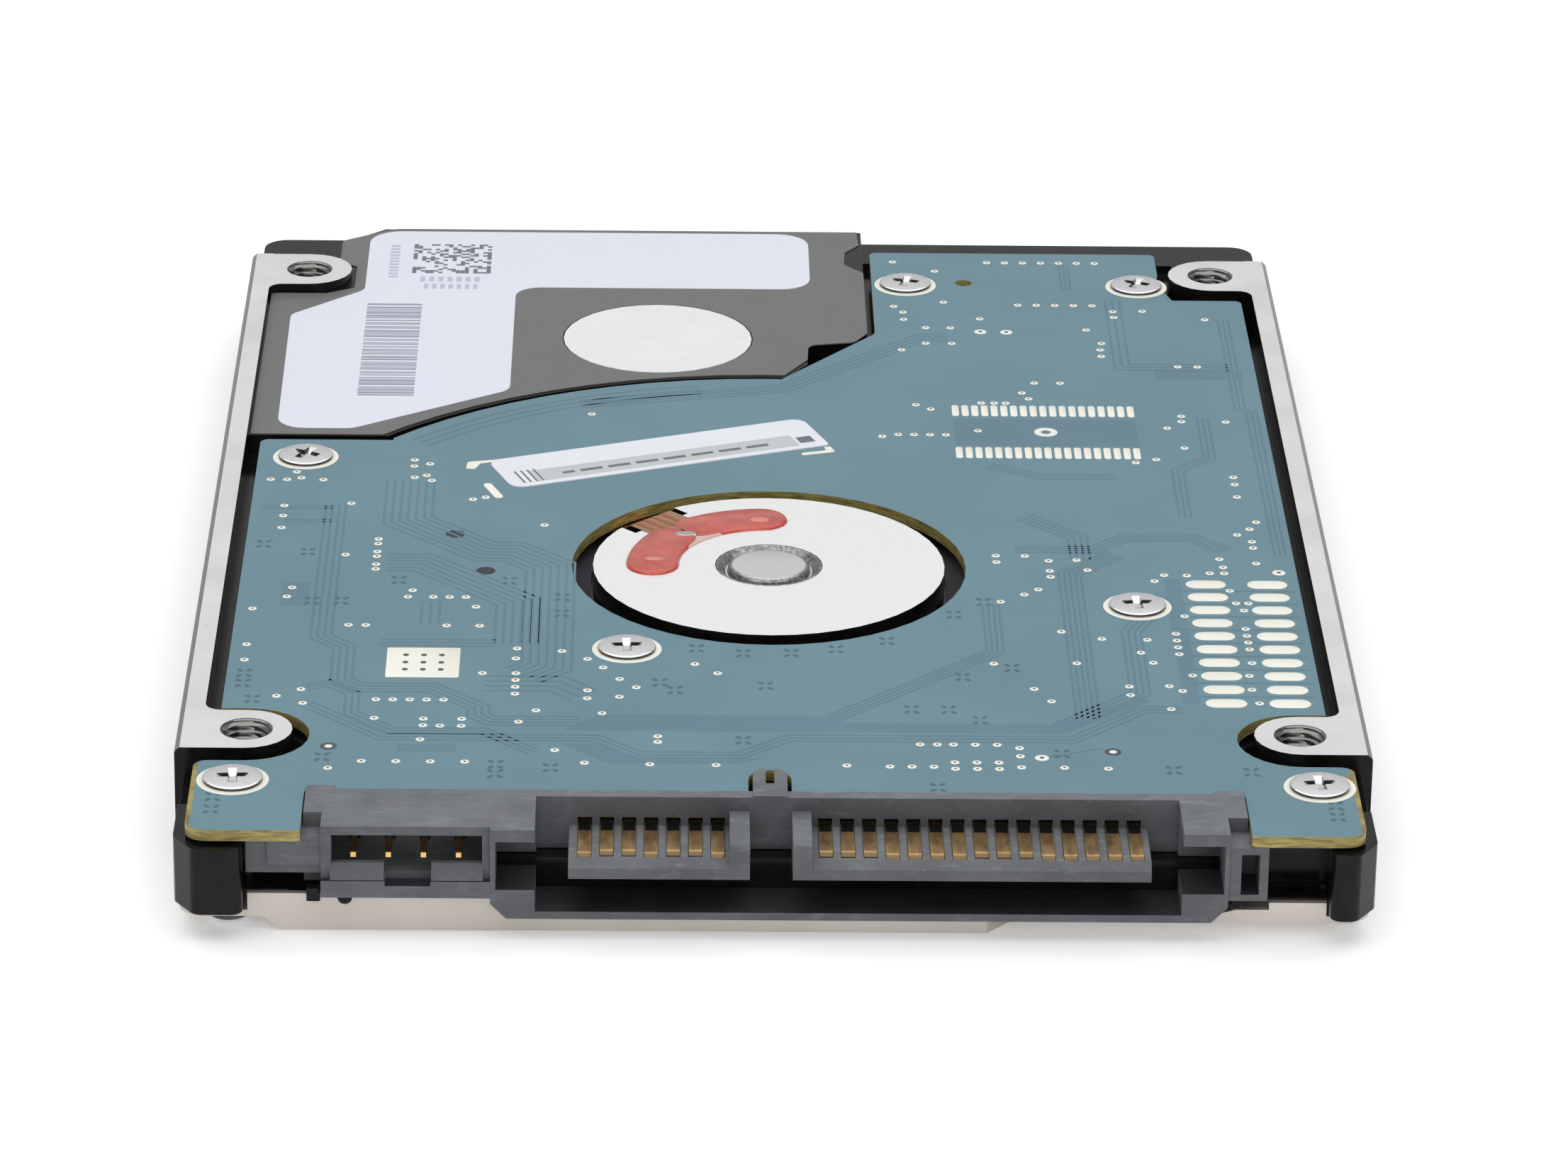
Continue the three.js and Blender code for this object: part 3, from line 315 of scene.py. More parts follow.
def sleeve_material():
    """Turned steel: the flat face is pale, the bevels are mirror bright and darkened by painted shade."""
    nodes = Nodes("motor_sleeve")
    normal = nodes.normals()
    flat = nodes.range(normal["Z"], 0.95, 0.995)
    grain = nodes.noise(0.25, 4)
    # Painted shade: faces that are not flat and level, such as the bevels, get the darker tones.
    slope = nodes.mix(nodes.range(grain, 0.35, 0.65), rgb(108, 108, 110), rgb(168, 168, 170))
    nodes.colour(nodes.mix(flat, slope, rgb(240, 238, 239)))
    nodes.roughness(nodes.range(grain, 0.3, 0.7, 0.12, 0.26))
    nodes.shader.inputs["Metallic"].default_value = 0.9
    nodes.bump(grain, 0.2, 0.01)
    return nodes.material


# Painted shade: how far the housing's front faces and the floors of its recesses are darkened, beside its top
FRONT_PAINTED_SHADE = 0.58
FLOOR_PAINTED_SHADE = 0.16
RECESS_FLOOR_Z = 3.7


def housing_material():
    """Glass filled black nylon: slate grey, with fine pale fibres that lie along X, and painted shade on its
    front faces and recess floors.
    """
    nodes = Nodes("sata_housing")
    fibre = nodes.noise(0.5, 5, (0.35, 1, 1), 0.7)
    speck = nodes.noise(0.12, 2)
    cloud = nodes.noise(3.5, 3)
    base = nodes.mix(nodes.range(cloud, 0.35, 0.65), rgb(92, 95, 100), rgb(107, 110, 115))
    base = nodes.mix(nodes.range(fibre, 0.52, 0.78), base, rgb(129, 132, 138))
    base = nodes.mix(nodes.range(speck, 0.66, 0.8), base, rgb(150, 152, 156))
    normal = nodes.normals()
    # Painted shade: faces that look to the front, and upward faces at the recess floors, are darkened.
    front = nodes.range(normal["Y"], -0.5, -0.8, 1, FRONT_PAINTED_SHADE)
    upward = nodes.range(normal["Z"], 0.5, 0.8)
    low = nodes.range(nodes.axes()["Z"], (RECESS_FLOOR_Z + 0.05) * MM, RECESS_FLOOR_Z * MM)
    floor = nodes.range(nodes.math("MULTIPLY", upward, low), 0, 1, 1, FLOOR_PAINTED_SHADE)
    nodes.colour(nodes.mix(nodes.math("MULTIPLY", front, floor), rgb(0, 0, 0), base))
    nodes.roughness(nodes.range(fibre, 0.3, 0.7, 0.42, 0.54))
    nodes.bump(fibre, 0.22, 0.02)
    return nodes.material


def cover_material():
    """Nickel plated steel sheet, warm and nearly matt."""
    nodes = Nodes("top_cover")
    grain = nodes.noise(0.35, 4, (1, 0.3, 1))
    cloud = nodes.noise(12, 2)
    nodes.colour(nodes.mix(nodes.range(cloud, 0.35, 0.65), rgb(191, 184, 177), rgb(203, 196, 189)))
    nodes.roughness(nodes.range(grain, 0.3, 0.7, 0.36, 0.46))
    nodes.shader.inputs["Metallic"].default_value = 0.5
    nodes.bump(grain, 0.1, 0.01)
    return nodes.material


def magnet_material(name, colour):
    return metal(name, colour, rough=0.3, grain_mm=0.3, bump=0.2)


def outer_materials():
    """Materials of the nodes that show on the closed drive."""
    return {
        "base_casting": casting_material(),
        "circuit_board": resist_material("circuit_board", RESIST),
        "top_cover": cover_material(),
        "cover_gasket": plastic("cover_gasket", rgb(30, 30, 30), rough=0.7),
        "drive_label": plastic("drive_label", rgb(108, 108, 108), rough=0.34, vary=0.02, specular=0.3),
        "pivot_seal": plastic("pivot_seal", rgb(230, 230, 230), rough=0.35, vary=0.03),
        "board_label": plastic("board_label", rgb(226, 228, 235), rough=0.5, vary=0.02),
        "sata_housing": housing_material(),
        "jumper_pins": metal("jumper_pins", rgb(226, 184, 116), rough=0.2, grain_mm=0.2),
        "motor_sleeve": sleeve_material(),
        "motor_flex": plastic("motor_flex", rgb(184, 122, 66), rough=0.3),
        "motor_resin": plastic("motor_resin", rgb(186, 84, 66), rough=0.12),
    }


def inner_materials():
    """Materials of the nodes inside the drive and under the board."""
    return {
        "board_insulator": plastic("board_insulator", rgb(56, 56, 60), rough=0.8),
        "stator_core": metal("stator_core", rgb(120, 122, 128), rough=0.4, stretch=(1, 1, 8)),
        "stator_windings": metal("stator_windings", rgb(190, 112, 60), rough=0.35, grain_mm=0.2, bump=0.4),
        "pivot_shaft": metal("pivot_shaft", rgb(176, 178, 182), rough=0.25),
        "head_flex": plastic("head_flex", rgb(186, 120, 62), rough=0.3),
        "head_connector": plastic("head_connector", rgb(40, 40, 43), rough=0.5),
        "vcm_magnet": magnet_material("vcm_magnet", rgb(196, 196, 198)),
        "load_ramp": plastic("load_ramp", rgb(216, 208, 184), rough=0.45),
        "crash_stop": plastic("crash_stop", rgb(30, 30, 31), rough=0.6),
        "latch_pin": metal("latch_pin", rgb(178, 180, 183), rough=0.25),
        "recirculation_filter": plastic("recirculation_filter", rgb(232, 231, 226), rough=0.9, bump=0.5),
        "breather_filter": plastic("breather_filter", rgb(34, 34, 36), rough=0.85, bump=0.4),
        "spindle_hub": metal("spindle_hub", rgb(206, 207, 208), rough=0.2),
        "rotor_magnet": magnet_material("rotor_magnet", rgb(74, 76, 82)),
        "platter": metal("platter", rgb(224, 226, 228), rough=0.05, grain_mm=2, bump=0.01, spread=0.02),
        "disk_clamp": metal("disk_clamp", rgb(200, 202, 202), rough=0.25),
        "actuator_arm": metal("actuator_arm", rgb(186, 188, 190), rough=0.3),
        "pivot_bearing": metal("pivot_bearing", rgb(154, 156, 160), rough=0.25),
        "voice_coil": metal("voice_coil", rgb(190, 112, 62), rough=0.32, grain_mm=0.18, bump=0.4),
        "actuator_latch": plastic("actuator_latch", rgb(44, 44, 46), rough=0.45),
    }


def slot_materials():
    """One material for each node or group of like nodes on the CAD model."""
    steel = screw_material()
    screws = [f"board_screw_{i + 1}" for i in range(7)] + [f"cover_screw_{i + 1}" for i in range(6)]
    gold = metal("contact_gold", rgb(214, 168, 84), rough=0.22, grain_mm=0.2)
    chip = plastic("chip_plastic", rgb(24, 24, 26), rough=0.55)
    spring = metal("spring_steel", rgb(205, 206, 208), rough=0.3, stretch=(1, 6, 1))
    ceramic = plastic("slider_ceramic", rgb(42, 42, 45), rough=0.25)
    made = {**outer_materials(), **inner_materials()}
    for material, names in (
        (steel, screws + ["pivot_screw", "clamp_screw"]),
        (gold, ["signal_contacts", "power_contacts"]),
        (chip, ["controller_chip", "motor_driver_chip", "cache_chip", "flash_chip"]),
    ):
        made.update({name: material for name in names})
    for side in ("cover_side", "board_side"):
        made[f"{side}_suspension"] = spring
        made[f"{side}_slider"] = ceramic
        made[f"vcm_{side}_plate"] = metal(f"vcm_{side}_plate", rgb(190, 190, 188), rough=0.28)
    return made


def dress_frame(made):
    """Gives every node of the CAD model its material."""
    for name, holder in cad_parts.items():
        for slot in holder.material_slots:
            slot.material = made[name]


# ---------- stage ----------

FLOOR_GLOW = 0.22
FLOOR_HALF_METRES = 1.6
FLOOR_GAP_METRES = 0.0001


def floor_material():
    """Plain pale matt floor that glows a little, so that the shadow on it stays faint."""
    nodes = Nodes("floor")
    colour = rgb(250, 250, 250)
    cloud = nodes.noise(60, 2)
    nodes.colour(nodes.mix(nodes.range(cloud, 0.3, 0.7), shade(colour, 0.985), colour))
    nodes.roughness(0.6)
    nodes.shader.inputs["Emission Color"].default_value = (1, 1, 1, 1)
    nodes.shader.inputs["Emission Strength"].default_value = FLOOR_GLOW
    return nodes.material


def build_stage():
    """A square floor just under the part."""
    mesh = bpy.data.meshes.new("floor")
    half = FLOOR_HALF_METRES
    mesh.from_pydata([(x, y, 0) for x, y in rectangle(-half, -half, half, half)], [], [(0, 1, 2, 3)])
    floor = bpy.data.objects.new("floor", mesh)
    floor.location.z = cad_box[0][2] - FLOOR_GAP_METRES
    mesh.materials.append(floor_material())
    bpy.context.scene.collection.objects.link(floor)
    floor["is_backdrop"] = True


def area_light(name, place, aim, size, power):
    """A soft white rectangle of light. Its place, aim and size are in metres."""
    lamp = bpy.data.lights.new(name, "AREA")
    lamp.shape = "RECTANGLE"
    lamp.size, lamp.size_y = size
    lamp.energy = power
    holder = bpy.data.objects.new(name, lamp)
    holder.location = place
    holder.rotation_euler = (Vector(aim) - Vector(place)).to_track_quat("-Z", "Y").to_euler()
    bpy.context.scene.collection.objects.link(holder)


def light_stage():
    """An even studio: a dim surround, a wide softbox overhead and a white wall of light behind."""
    world = bpy.data.worlds.new("studio")
    world.use_nodes = True
    world.node_tree.nodes["Background"].inputs["Color"].default_value = (1, 1, 1, 1)
    world.node_tree.nodes["Background"].inputs["Strength"].default_value = 0.4
    bpy.context.scene.world = world
    area_light("overhead", (0, 0.05, 0.8), (0, 0, 0), (1.6, 1.4), 7.6)
    area_light("wall", (0, 0.95, 0.5), (0, 0, 0.02), (1.8, 0.4), 0.5)
    area_light("front", (0, -0.9, 0.5), (0, 0, 0), (1.2, 0.5), 2.6)
    bpy.context.scene.view_settings.view_transform = "Standard"


# ---------- shapes ----------

def circle(centre, radius, steps=48, start=0.0, end=360.0):
    """Points on a circle or an arc, counter-clockwise, angles in degrees."""
    whole = abs(end - start) >= 360
    count = steps if whole else steps + 1
    points = []
    for i in range(count):
        angle = math.radians(start + (end - start) * i / steps)
        points.append((centre[0] + radius * math.cos(angle), centre[1] + radius * math.sin(angle)))
    return points


def rectangle(x0, y0, x1, y1):
    return [(x0, y0), (x1, y0), (x1, y1), (x0, y1)]


def rounded(points, radius, steps=6):
    """The outline with each corner turned into an arc. A corner may carry its own radius as a third value."""
    made = []
    count = len(points)
    for i, corner in enumerate(points):
        here = Vector(corner[:2])
        own = corner[2] if len(corner) > 2 else radius
        before = Vector(points[i - 1][:2]) - here
        after = Vector(points[(i + 1) % count][:2]) - here
        angle = before.angle(after)
        if own <= 0 or angle > math.pi - 0.02:
            made.append(tuple(here))
            continue
        reach = min(own / math.tan(angle / 2), before.length * 0.49, after.length * 0.49)
        real = reach * math.tan(angle / 2)
        start = here + before.normalized() * reach
        end = here + after.normalized() * reach
        centre = here + (before.normalized() + after.normalized()).normalized() * (real / math.sin(angle / 2))
        first, last = start - centre, end - centre
        turn = first.angle_signed(last, 0)
        for k in range(steps + 1):
            spin = -turn * k / steps
            made.append((
                centre.x + first.x * math.cos(spin) - first.y * math.sin(spin),
                centre.y + first.x * math.sin(spin) + first.y * math.cos(spin),
            ))
    return made


def stadium(x, y, length, width, steps=8):
    """A slot shape along X."""
    half = (length - width) / 2
    return circle((x + half, y), width / 2, steps, -90, 90) + circle((x - half, y), width / 2, steps, 90, 270)


def turned_about(points, centre, degrees):
    angle = math.radians(degrees)
    made = []
    for x, y in points:
        dx, dy = x - centre[0], y - centre[1]
        made.append((
            centre[0] + dx * math.cos(angle) - dy * math.sin(angle),
            centre[1] + dx * math.sin(angle) + dy * math.cos(angle),
        ))
    return made


class Solid:
    """Collects closed pieces of mesh, in mm, for one object."""

    def __init__(self):
        self.mesh = bmesh.new()

    def ring(self, points):
        return [self.mesh.verts.new(point) for point in points]

    def wall(self, lower, upper):
        """Faces between two rings of the same count of points."""
        count = len(lower)
        for i in range(count):
            j = (i + 1) % count
            self.mesh.faces.new((lower[i], lower[j], upper[j], upper[i]))

    def between(self, start, end):
        """A closed solid between two rings."""
        self.mesh.faces.new(start[::-1])
        self.mesh.faces.new(end)
        self.wall(start, end)
        return self

    def prism(self, outline, low, high):
        """Extrudes an outline in XY from z low to z high."""
        return self.between(
            self.ring((x, y, low) for x, y in outline),
            self.ring((x, y, high) for x, y in outline),
        )

    def dome(self, outline, low, high, inset, steps=4):
        """An extruded outline whose upper rim is rounded over by about inset."""
        rows = [(low, 0.0)]
        for i in range(steps + 1):
            angle = math.pi / 2 * i / steps
            rows.append((high - inset + inset * math.sin(angle), inset * (1 - math.cos(angle))))
        self.loft([offset(outline, -row[1]) for row in rows], [row[0] for row in rows])
        return self

    def loft(self, rings, heights):
        """Joins rings of the same count of points, one above another, and closes both ends."""
        made = [self.ring((x, y, height) for x, y in ring) for ring, height in zip(rings, heights)]
        for lower, upper in zip(made, made[1:]):
            self.wall(lower, upper)
        self.mesh.faces.new(made[0][::-1])
        self.mesh.faces.new(made[-1])
        return self

    def turned(self, profile, centre, steps=64, axis="Z"):
        """Turns a closed profile of (radius, height) about an axis through centre."""
        rings = []
        for radius, height in profile:
            if radius < 1e-6:
                rings.append([self.mesh.verts.new(placed(0, 0, height, centre, axis))])
                continue
            ring = []
            for i in range(steps):
                angle = 2 * math.pi * i / steps
                ring.append(self.mesh.verts.new(
                    placed(radius * math.cos(angle), radius * math.sin(angle), height, centre, axis)
                ))
            rings.append(ring)
        closed = profile[0][0] > 1e-6 or profile[-1][0] > 1e-6
        pairs = list(zip(rings, rings[1:])) + ([(rings[-1], rings[0])] if closed else [])
        for lower, upper in pairs:
            for i in range(steps):
                j = (i + 1) % steps
                order = ((lower, i), (lower, j), (upper, j), (upper, i))
                corners = [ring[k % len(ring)] for ring, k in order]
                unique = list(dict.fromkeys(corners))
                if len(unique) > 2:
                    self.mesh.faces.new(unique)
        return self

    def box(self, x0, x1, y0, y1, z0, z1):
        return self.prism(rectangle(x0, y0, x1, y1), z0, z1)

    def bar(self, outline, x0, x1):
        """Extrudes an outline in YZ from x0 to x1."""
        return self.between(
            self.ring((x0, y, z) for y, z in outline),
            self.ring((x1, y, z) for y, z in outline),
        )


def placed(x, y, height, centre, axis):
    if axis == "Z":
        return (centre[0] + x, centre[1] + y, height)
    if axis == "X":
        return (height, centre[0] + x, centre[1] + y)
    return (centre[0] + x, height, centre[1] + y)


def offset(outline, distance):
    """Moves a counter-clockwise outline outwards by distance, or inwards where it is negative."""
    made = []
    count = len(outline)
    for i in range(count):
        here = Vector(outline[i])
        before = here - Vector(outline[i - 1])
        after = Vector(outline[(i + 1) % count]) - here
        first = Vector((before.y, -before.x)).normalized()
        second = Vector((after.y, -after.x)).normalized()
        both = first + second
        both = both.normalized() if both.length > 1e-6 else first
        stretch = 1 / max(both.dot(first), 0.35)
        made.append(tuple(here + both * distance * stretch))
    return made


def finish_mesh(solid, name, smooth=30.0):
    """Turns collected mm mesh into an object in metres with outward faces."""
    bmesh.ops.recalc_face_normals(solid.mesh, faces=solid.mesh.faces)
    data = bpy.data.meshes.new(name)
    solid.mesh.to_mesh(data)
    solid.mesh.free()
    data.transform(Matrix.Scale(MM, 4))
    holder = bpy.data.objects.new(name, data)
    bpy.context.scene.collection.objects.link(holder)
    shade_smooth(holder, smooth)
    return holder


def shade_smooth(holder, degrees):
    for polygon in holder.data.polygons:
        polygon.use_smooth = True
    holder.data.set_sharp_from_angle(angle=math.radians(degrees))


def piece(holder, material, slot, body=BODY, replaces=()):
    """Gives an object its material and the body it rides on. The slot argument is not used."""
    holder.data.materials.clear()
    holder.data.materials.append(material)
    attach(holder, body)
    if replaces:
        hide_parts(*replaces)
    return holder


def apply_modifiers(holder):
    graph = bpy.context.evaluated_depsgraph_get()
    made = bpy.data.meshes.new_from_object(holder.evaluated_get(graph))
    holder.modifiers.clear()
    holder.data = made


def cut_out(holder, other):
    """Cuts other out of holder and drops other."""
    cut = holder.modifiers.new("cut", "BOOLEAN")
    cut.operation = "DIFFERENCE"
    cut.object = other
    cut.solver = "MANIFOLD"
    apply_modifiers(holder)
    bpy.data.objects.remove(other)
    return holder


def refined(node, width, cuts=None):
    """A copy of a CAD node's mesh, with extra cuts and with its sharp edges rounded over."""
    work = bmesh.new()
    work.from_mesh(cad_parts[node].data)
    bmesh.ops.remove_doubles(work, verts=work.verts, dist=2e-6)
    data = bpy.data.meshes.new(f"{node}_fine")
    work.to_mesh(data)
    work.free()
    holder = bpy.data.objects.new(f"{node}_fine", data)
    bpy.context.scene.collection.objects.link(holder)
    if cuts:
        cut_out(holder, finish_mesh(cuts, "cuts"))
    simplify(holder.data)
    rounding = holder.modifiers.new("rounding", "BEVEL")
    rounding.width = width * MM
    rounding.segments = 2
    rounding.limit_method = "ANGLE"
    rounding.angle_limit = math.radians(25)
    rounding.use_clamp_overlap = True
    apply_modifiers(holder)
    even_normals(holder)
    return holder


def simplify(data):
    """Joins the flat triangles that a boolean leaves into whole faces."""
    work = bmesh.new()
    work.from_mesh(data)
    bmesh.ops.dissolve_limit(work, angle_limit=math.radians(1.5), verts=work.verts, edges=work.edges)
    work.to_mesh(data)
    work.free()


def even_normals(holder):
    """Keeps large flat faces looking flat where a rounded edge meets them."""
    shade_smooth(holder, 35)
    weights = holder.modifiers.new("weights", "WEIGHTED_NORMAL")
    weights.keep_sharp = True
    weights.weight = 100
    apply_modifiers(holder)


# ---------- printed film on the back of the drive ----------

PALE = rgb(222, 226, 238)
PRINT_STEP = 0.008
CELL = 0.3
STRIP_CENTRE = (-6.85, 8.05)
STRIP_ANGLE = 21
STRIP_THICK = 0.07


def print_piece(solid, name, ink, colour, slot="drive_label"):
    """A layer of print: smooth film with the faintest ripple."""
    holder = finish_mesh(solid, name)
    film = plastic(ink, colour, rough=0.34, grain_mm=4.0, bump=0.02, vary=0.008, specular=0.3)
    piece(holder, film, slot)


def print_label():
    """The pale printed area and the marks on it."""
    area = Solid()
    outline = [
        (-31.65, 12.6, 1.8), (-26.8, 12.6, 1.4), (-16.7, 19.6, 1.4), (-16.7, 38.7, 1.7), (3.4, 38.7, 2.0),
        (3.4, 49.55, 2.2), (-27.0, 49.55, 2.2), (-27.0, 38.0, 1.2), (-31.8, 33.2, 1.2),
    ]
    area.prism(rounded(outline, 1), LABEL_TOP, LABEL_TOP + PRINT_STEP)
    print_piece(area, "label_pale_print", "pale_print", PALE)
    print_bars()


def print_bars():
    """Plain bars of mixed thickness, a square of scattered cells and two faint rows of equal ticks."""
    random.seed(7)
    low = LABEL_TOP + PRINT_STEP
    high = low + PRINT_STEP
    bars = Solid()
    y = 18.4
    while y < 35.4:
        thick = random.choice((0.12, 0.12, 0.2, 0.3))
        bars.box(-26.7, -23.0, y, y + thick, low, high)
        y += thick + random.choice((0.1, 0.14, 0.14, 0.3))
    print_piece(bars, "label_bars", "bar_print", rgb(150, 153, 166))
    cells = Solid()
    for i in range(18):
        for j in range(19):
            if random.random() < 0.42:
                x, y = -23.9 + i * CELL, 41.3 + j * CELL
                cells.box(x, x + CELL * 0.96, y, y + CELL * 0.96, low, high)
    print_piece(cells, "label_cells", "cell_print", rgb(112, 114, 126))
    faint = Solid()
    for i in range(11):
        faint.box(-25.5, -24.85, 40.4 + i * 0.6, 40.75 + i * 0.6, low, high)
    for i in range(7):
        faint.box(-23.3 + i * 0.62, -22.95 + i * 0.62, 39.7, 40.6, low, high)
        faint.box(-23.0 + i * 0.56, -22.7 + i * 0.56, 38.3, 39.2, low, high)
    print_piece(faint, "label_faint_marks", "faint_print", rgb(188, 191, 204))


def print_board_label():
    """A white strip on the board with a grey band, a row of plain blocks and four thin bars."""
    low = BOARD_TOP + STRIP_THICK
    high = low + PRINT_STEP

    def across(x0, y0, x1, y1):
        shifted = [(STRIP_CENTRE[0] + x, STRIP_CENTRE[1] + y) for x, y in rectangle(x0, y0, x1, y1)]
        return turned_about(shifted, STRIP_CENTRE, STRIP_ANGLE)

    band = Solid()
    band.prism(across(-8.9, -1.95, 9.0, -0.1), low, high)
    print_piece(band, "board_label_band", "label_band", rgb(192, 197, 200), "board_label")
    marks = Solid()
    x = -7.0
    for wide in (0.8, 1.5, 1.5, 1.5, 1.5, 1.5, 1.5, 1.5):
        marks.prism(across(x, -1.3, x + wide, -0.95), high, high + PRINT_STEP)
        x += wide + 0.4
    for i in range(4):
        marks.prism(across(-9.9 + i * 0.42, -1.9, -9.78 + i * 0.42, 0.1), low, high + PRINT_STEP)
    marks.prism(across(9.2, -1.6, 10.2, -0.6), low, high)
    print_piece(marks, "board_label_marks", "label_marks", rgb(104, 110, 118), "board_label")


# ---------- copper and ink on the circuit board ----------

PAD_FOOT = BOARD_TOP - 0.01
PAD_TOP = BOARD_TOP + 0.02
TRACK_FOOT = BOARD_TOP - 0.002
TRACK_TOP = BOARD_TOP + 0.006
MARK_TOP = BOARD_TOP + 0.01
INK_TOP = BOARD_TOP + 0.015
CREAM = rgb(238, 237, 226)
TOOL_HOLES = [(-19.55, -5.6), (-17.5, -11.45)]


def row(x, y, dx, dy, count):
    """Evenly spaced spots from (x, y)."""
    return [(x + dx * i, y + dy * i) for i in range(count)]


VIAS = {
    "near_left": [
        (-17.3, -27.1), (-15.3, -27.1), (-15.3, -28.1), (-15.3, -29.1), (-15.3, -30.1), (-11, -29.55),
        (-11, -30.7), (-9.1, -27.85), (-9.1, -30.45), (-8.1, -29.05), (-28, -29.65), (-29.4, -30.65),
        (-27.8, -31.65), *row(-23.5, -31.05, 1.0, 0, 5), (-23.5, -33.75), (-20.6, -33.8), (-20.6, -34.75),
        (-19.6, -34.8), (-18.35, -33.8), (-18.35, -34.8), (-14, -32.5), (-15, -34.15), (-10.1, -32.85),
        (-20.7, -36.75), (-25.9, -40.85), *row(-24, -39.85, 2, 0, 4), (-12.8, -38.15), (-11.05, -39.9),
        (-6.8, -36.1), (-6.8, -36.9), (-7.25, -40.05), (-3.4, -40.1),
    ],
    "near_right": [
        (4.2, -40.05), *row(6.7, -40.15, 1.28, 0, 3), (14.35, -40.15), (16.85, -40.15), (8.55, -37),
        (9.55, -37), *row(10.5, -37, 1.28, 0, 3), *row(10.5, -39.5, 1.28, 0, 3),
        *row(10.5, -40.4, 1.28, 0, 3), (14.35, -37.45), (14.35, -38.6), (19.4, -40.25), (15.6, -28.9),
        (16.55, -30.7), (-3.25, -26.9), (21.3, -28.45), (21.3, -29.7), (23.7, -28.35), (24.45, -29.05),
        (23.6, -31.7), (28.6, -28.8), (28.9, -30.8),
    ],
    "left": [
        (-30.45, -4.75), (-30.45, -2.8), (-30.45, -1.15), *row(-24.3, -6.5, 0, -2.02, 3),
        *row(-24.3, -7.25, 0, -2.02, 3), (-26.25, -9.05), (-26.25, -0.7), (-14, -4.05), (-29.3, -14.3),
        (-29.55, -15.7), (-31.55, -17.6), (-21.9, -14.6), (-22.15, -15.6), *row(-20.6, -15.6, 1.0, 0, 3),
        (-17.95, -17.1), (-25.6, -20), (-24.55, -20), (-19.65, -20), (-17.65, -20), (-31.6, -23.05),
        (-31.6, -25.35), (-15.3, -23.4), (-15.35, -24.9), (-12.6, -23.75), (-11.05, -24.9),
        (-10.1, -26.15), (-4.6, -25.55),
    ],
    "right": [
        (13.35, -25.2), (14.15, -8.5), (14.15, -9.5), (15.95, -8.5), (17.4, -9.25), (19.15, -9.1),
        (19.75, -10.7), (17.4, -10.85), (17.4, -11.8), (16.55, -13.8), (15.65, -14.6), (14.15, -15.75),
        (30.3, -3.9), (29.45, -4.85), (30.3, -5.95), (30.3, -6.95), (30.3, -9.45), (30.8, -2.75),
        (24.45, -11.4), (25.85, -11.45), (23.8, -12.35), (27.3, -11.05), (28.2, -11.05), (28.2, -10.1),
        (28.05, -8.8), (28.35, -13.8), (28.6, -15.75), (29.35, -15.75), (29, -16.85), (25.3, -17.8),
        *row(28.9, -19.7, 0, -1.03, 4), (28.9, -24.85), (28.6, -26.75), (25.2, -26.75),
        *row(24.6, -20.5, 0, -1.03, 4), (17.65, -20.3), (20.05, -21.35), (22.8, -21.45), (22.3, -23.4),
        (18.35, -25.05), (22.95, -24.9),
    ],
    "far_left": [
        (-18.6, 0.1), (-17.8, 0.45), (-31.55, 3.2), (-30.5, 3.2), (-29.6, 3.5), (-28.2, 3.2),
        (-29.95, 4.5), (-22.5, 6.65), (-22.5, 5.6), (-21.5, 6), (-22.4, 3.7), (-21.65, 4.05),
        (-21.3, 3.2), (-11.25, 14.85),
    ],
    "far_right": [
        (9.95, 16.9), (10.9, 16.15), (7.6, 11.3), *row(8.65, 11.65, 1.03, 0, 4), (13.85, 12.4),
        (14.25, 17.3), (15.1, 17.3), (15.85, 17.3), (17.9, 20.95), (19.6, 20.95), (17, 19.15),
        (17.4, 18.1), (27.25, 15.2), (27.2, 14.25), (26.2, 13.1), (30.1, 14.25), (27.1, 9.65),
        (25.15, 7.65), (23.8, 7.1), (29.9, 4.7), (29.9, 3.5), (29.9, 1.4), (27.6, 24.1), (28.9, 24.1),
        (9.15, 43.6), (12, 41.85), (9, 35), (9.6, 33.9), (9.6, 32.55), (12.4, 35.85), (14.75, 32.75),
        (11.05, 31), (12.7, 31), (10.95, 28.1), (12.7, 28.1), (9.3, 26.85), *row(15.65, 43.6, 1.24, 0, 7),
        *row(17.45, 35.4, 1.26, 0, 5), (23.85, 34.3), (23.85, 33.2), (25.85, 34.4), (30, 32.9),
        (21.85, 30.8), (22.75, 28.3), (22.6, 27.1), (22.6, 25.9),
    ],
}
BIG_VIAS = [(14.7, 30.3), (16.45, 30.25), (31.6, -10.9), (15.6, -38.8)]
RINGED_HOLES = [(-26, -37.8), (19.8, -37.9)]
FAINT_CROSSES = [
    (1.2, -23.8), (-1.7, -23.9), (-4.5, -23.2), (3.9, -23.2), (7, -21.9), (-6.7, -28.3), (-5.8, -29.4),
    (-0.4, -28.7), (8.2, -32), (10.4, -32), (12.2, -33.5), (11.4, -27.2), (14.4, -25.8), (-1.8, -36.6),
    (-12.7, -18), (-12.7, -15.5), (-16, -13), (-22.8, -13), (11.2, -17.8), (13.1, -15.8), (-31.5, -27.3),
    (-31.5, -28.8), (-30.8, -31.1), (-26.3, -39.3), (-16.2, -40.2), (-16.2, -41.5), (23.2, -40.4),
    (27.7, -40.6), (-32.3, -44.9), (-32.3, -46.6), (32.2, -45.2), (32.2, -46.7), (-28.6, -8.6),
    (-28, -16.3), (-26.2, -16.3), (-31.4, -7.4), (-13, -40.6), (9.4, -43), (16.8, -38.2),
]


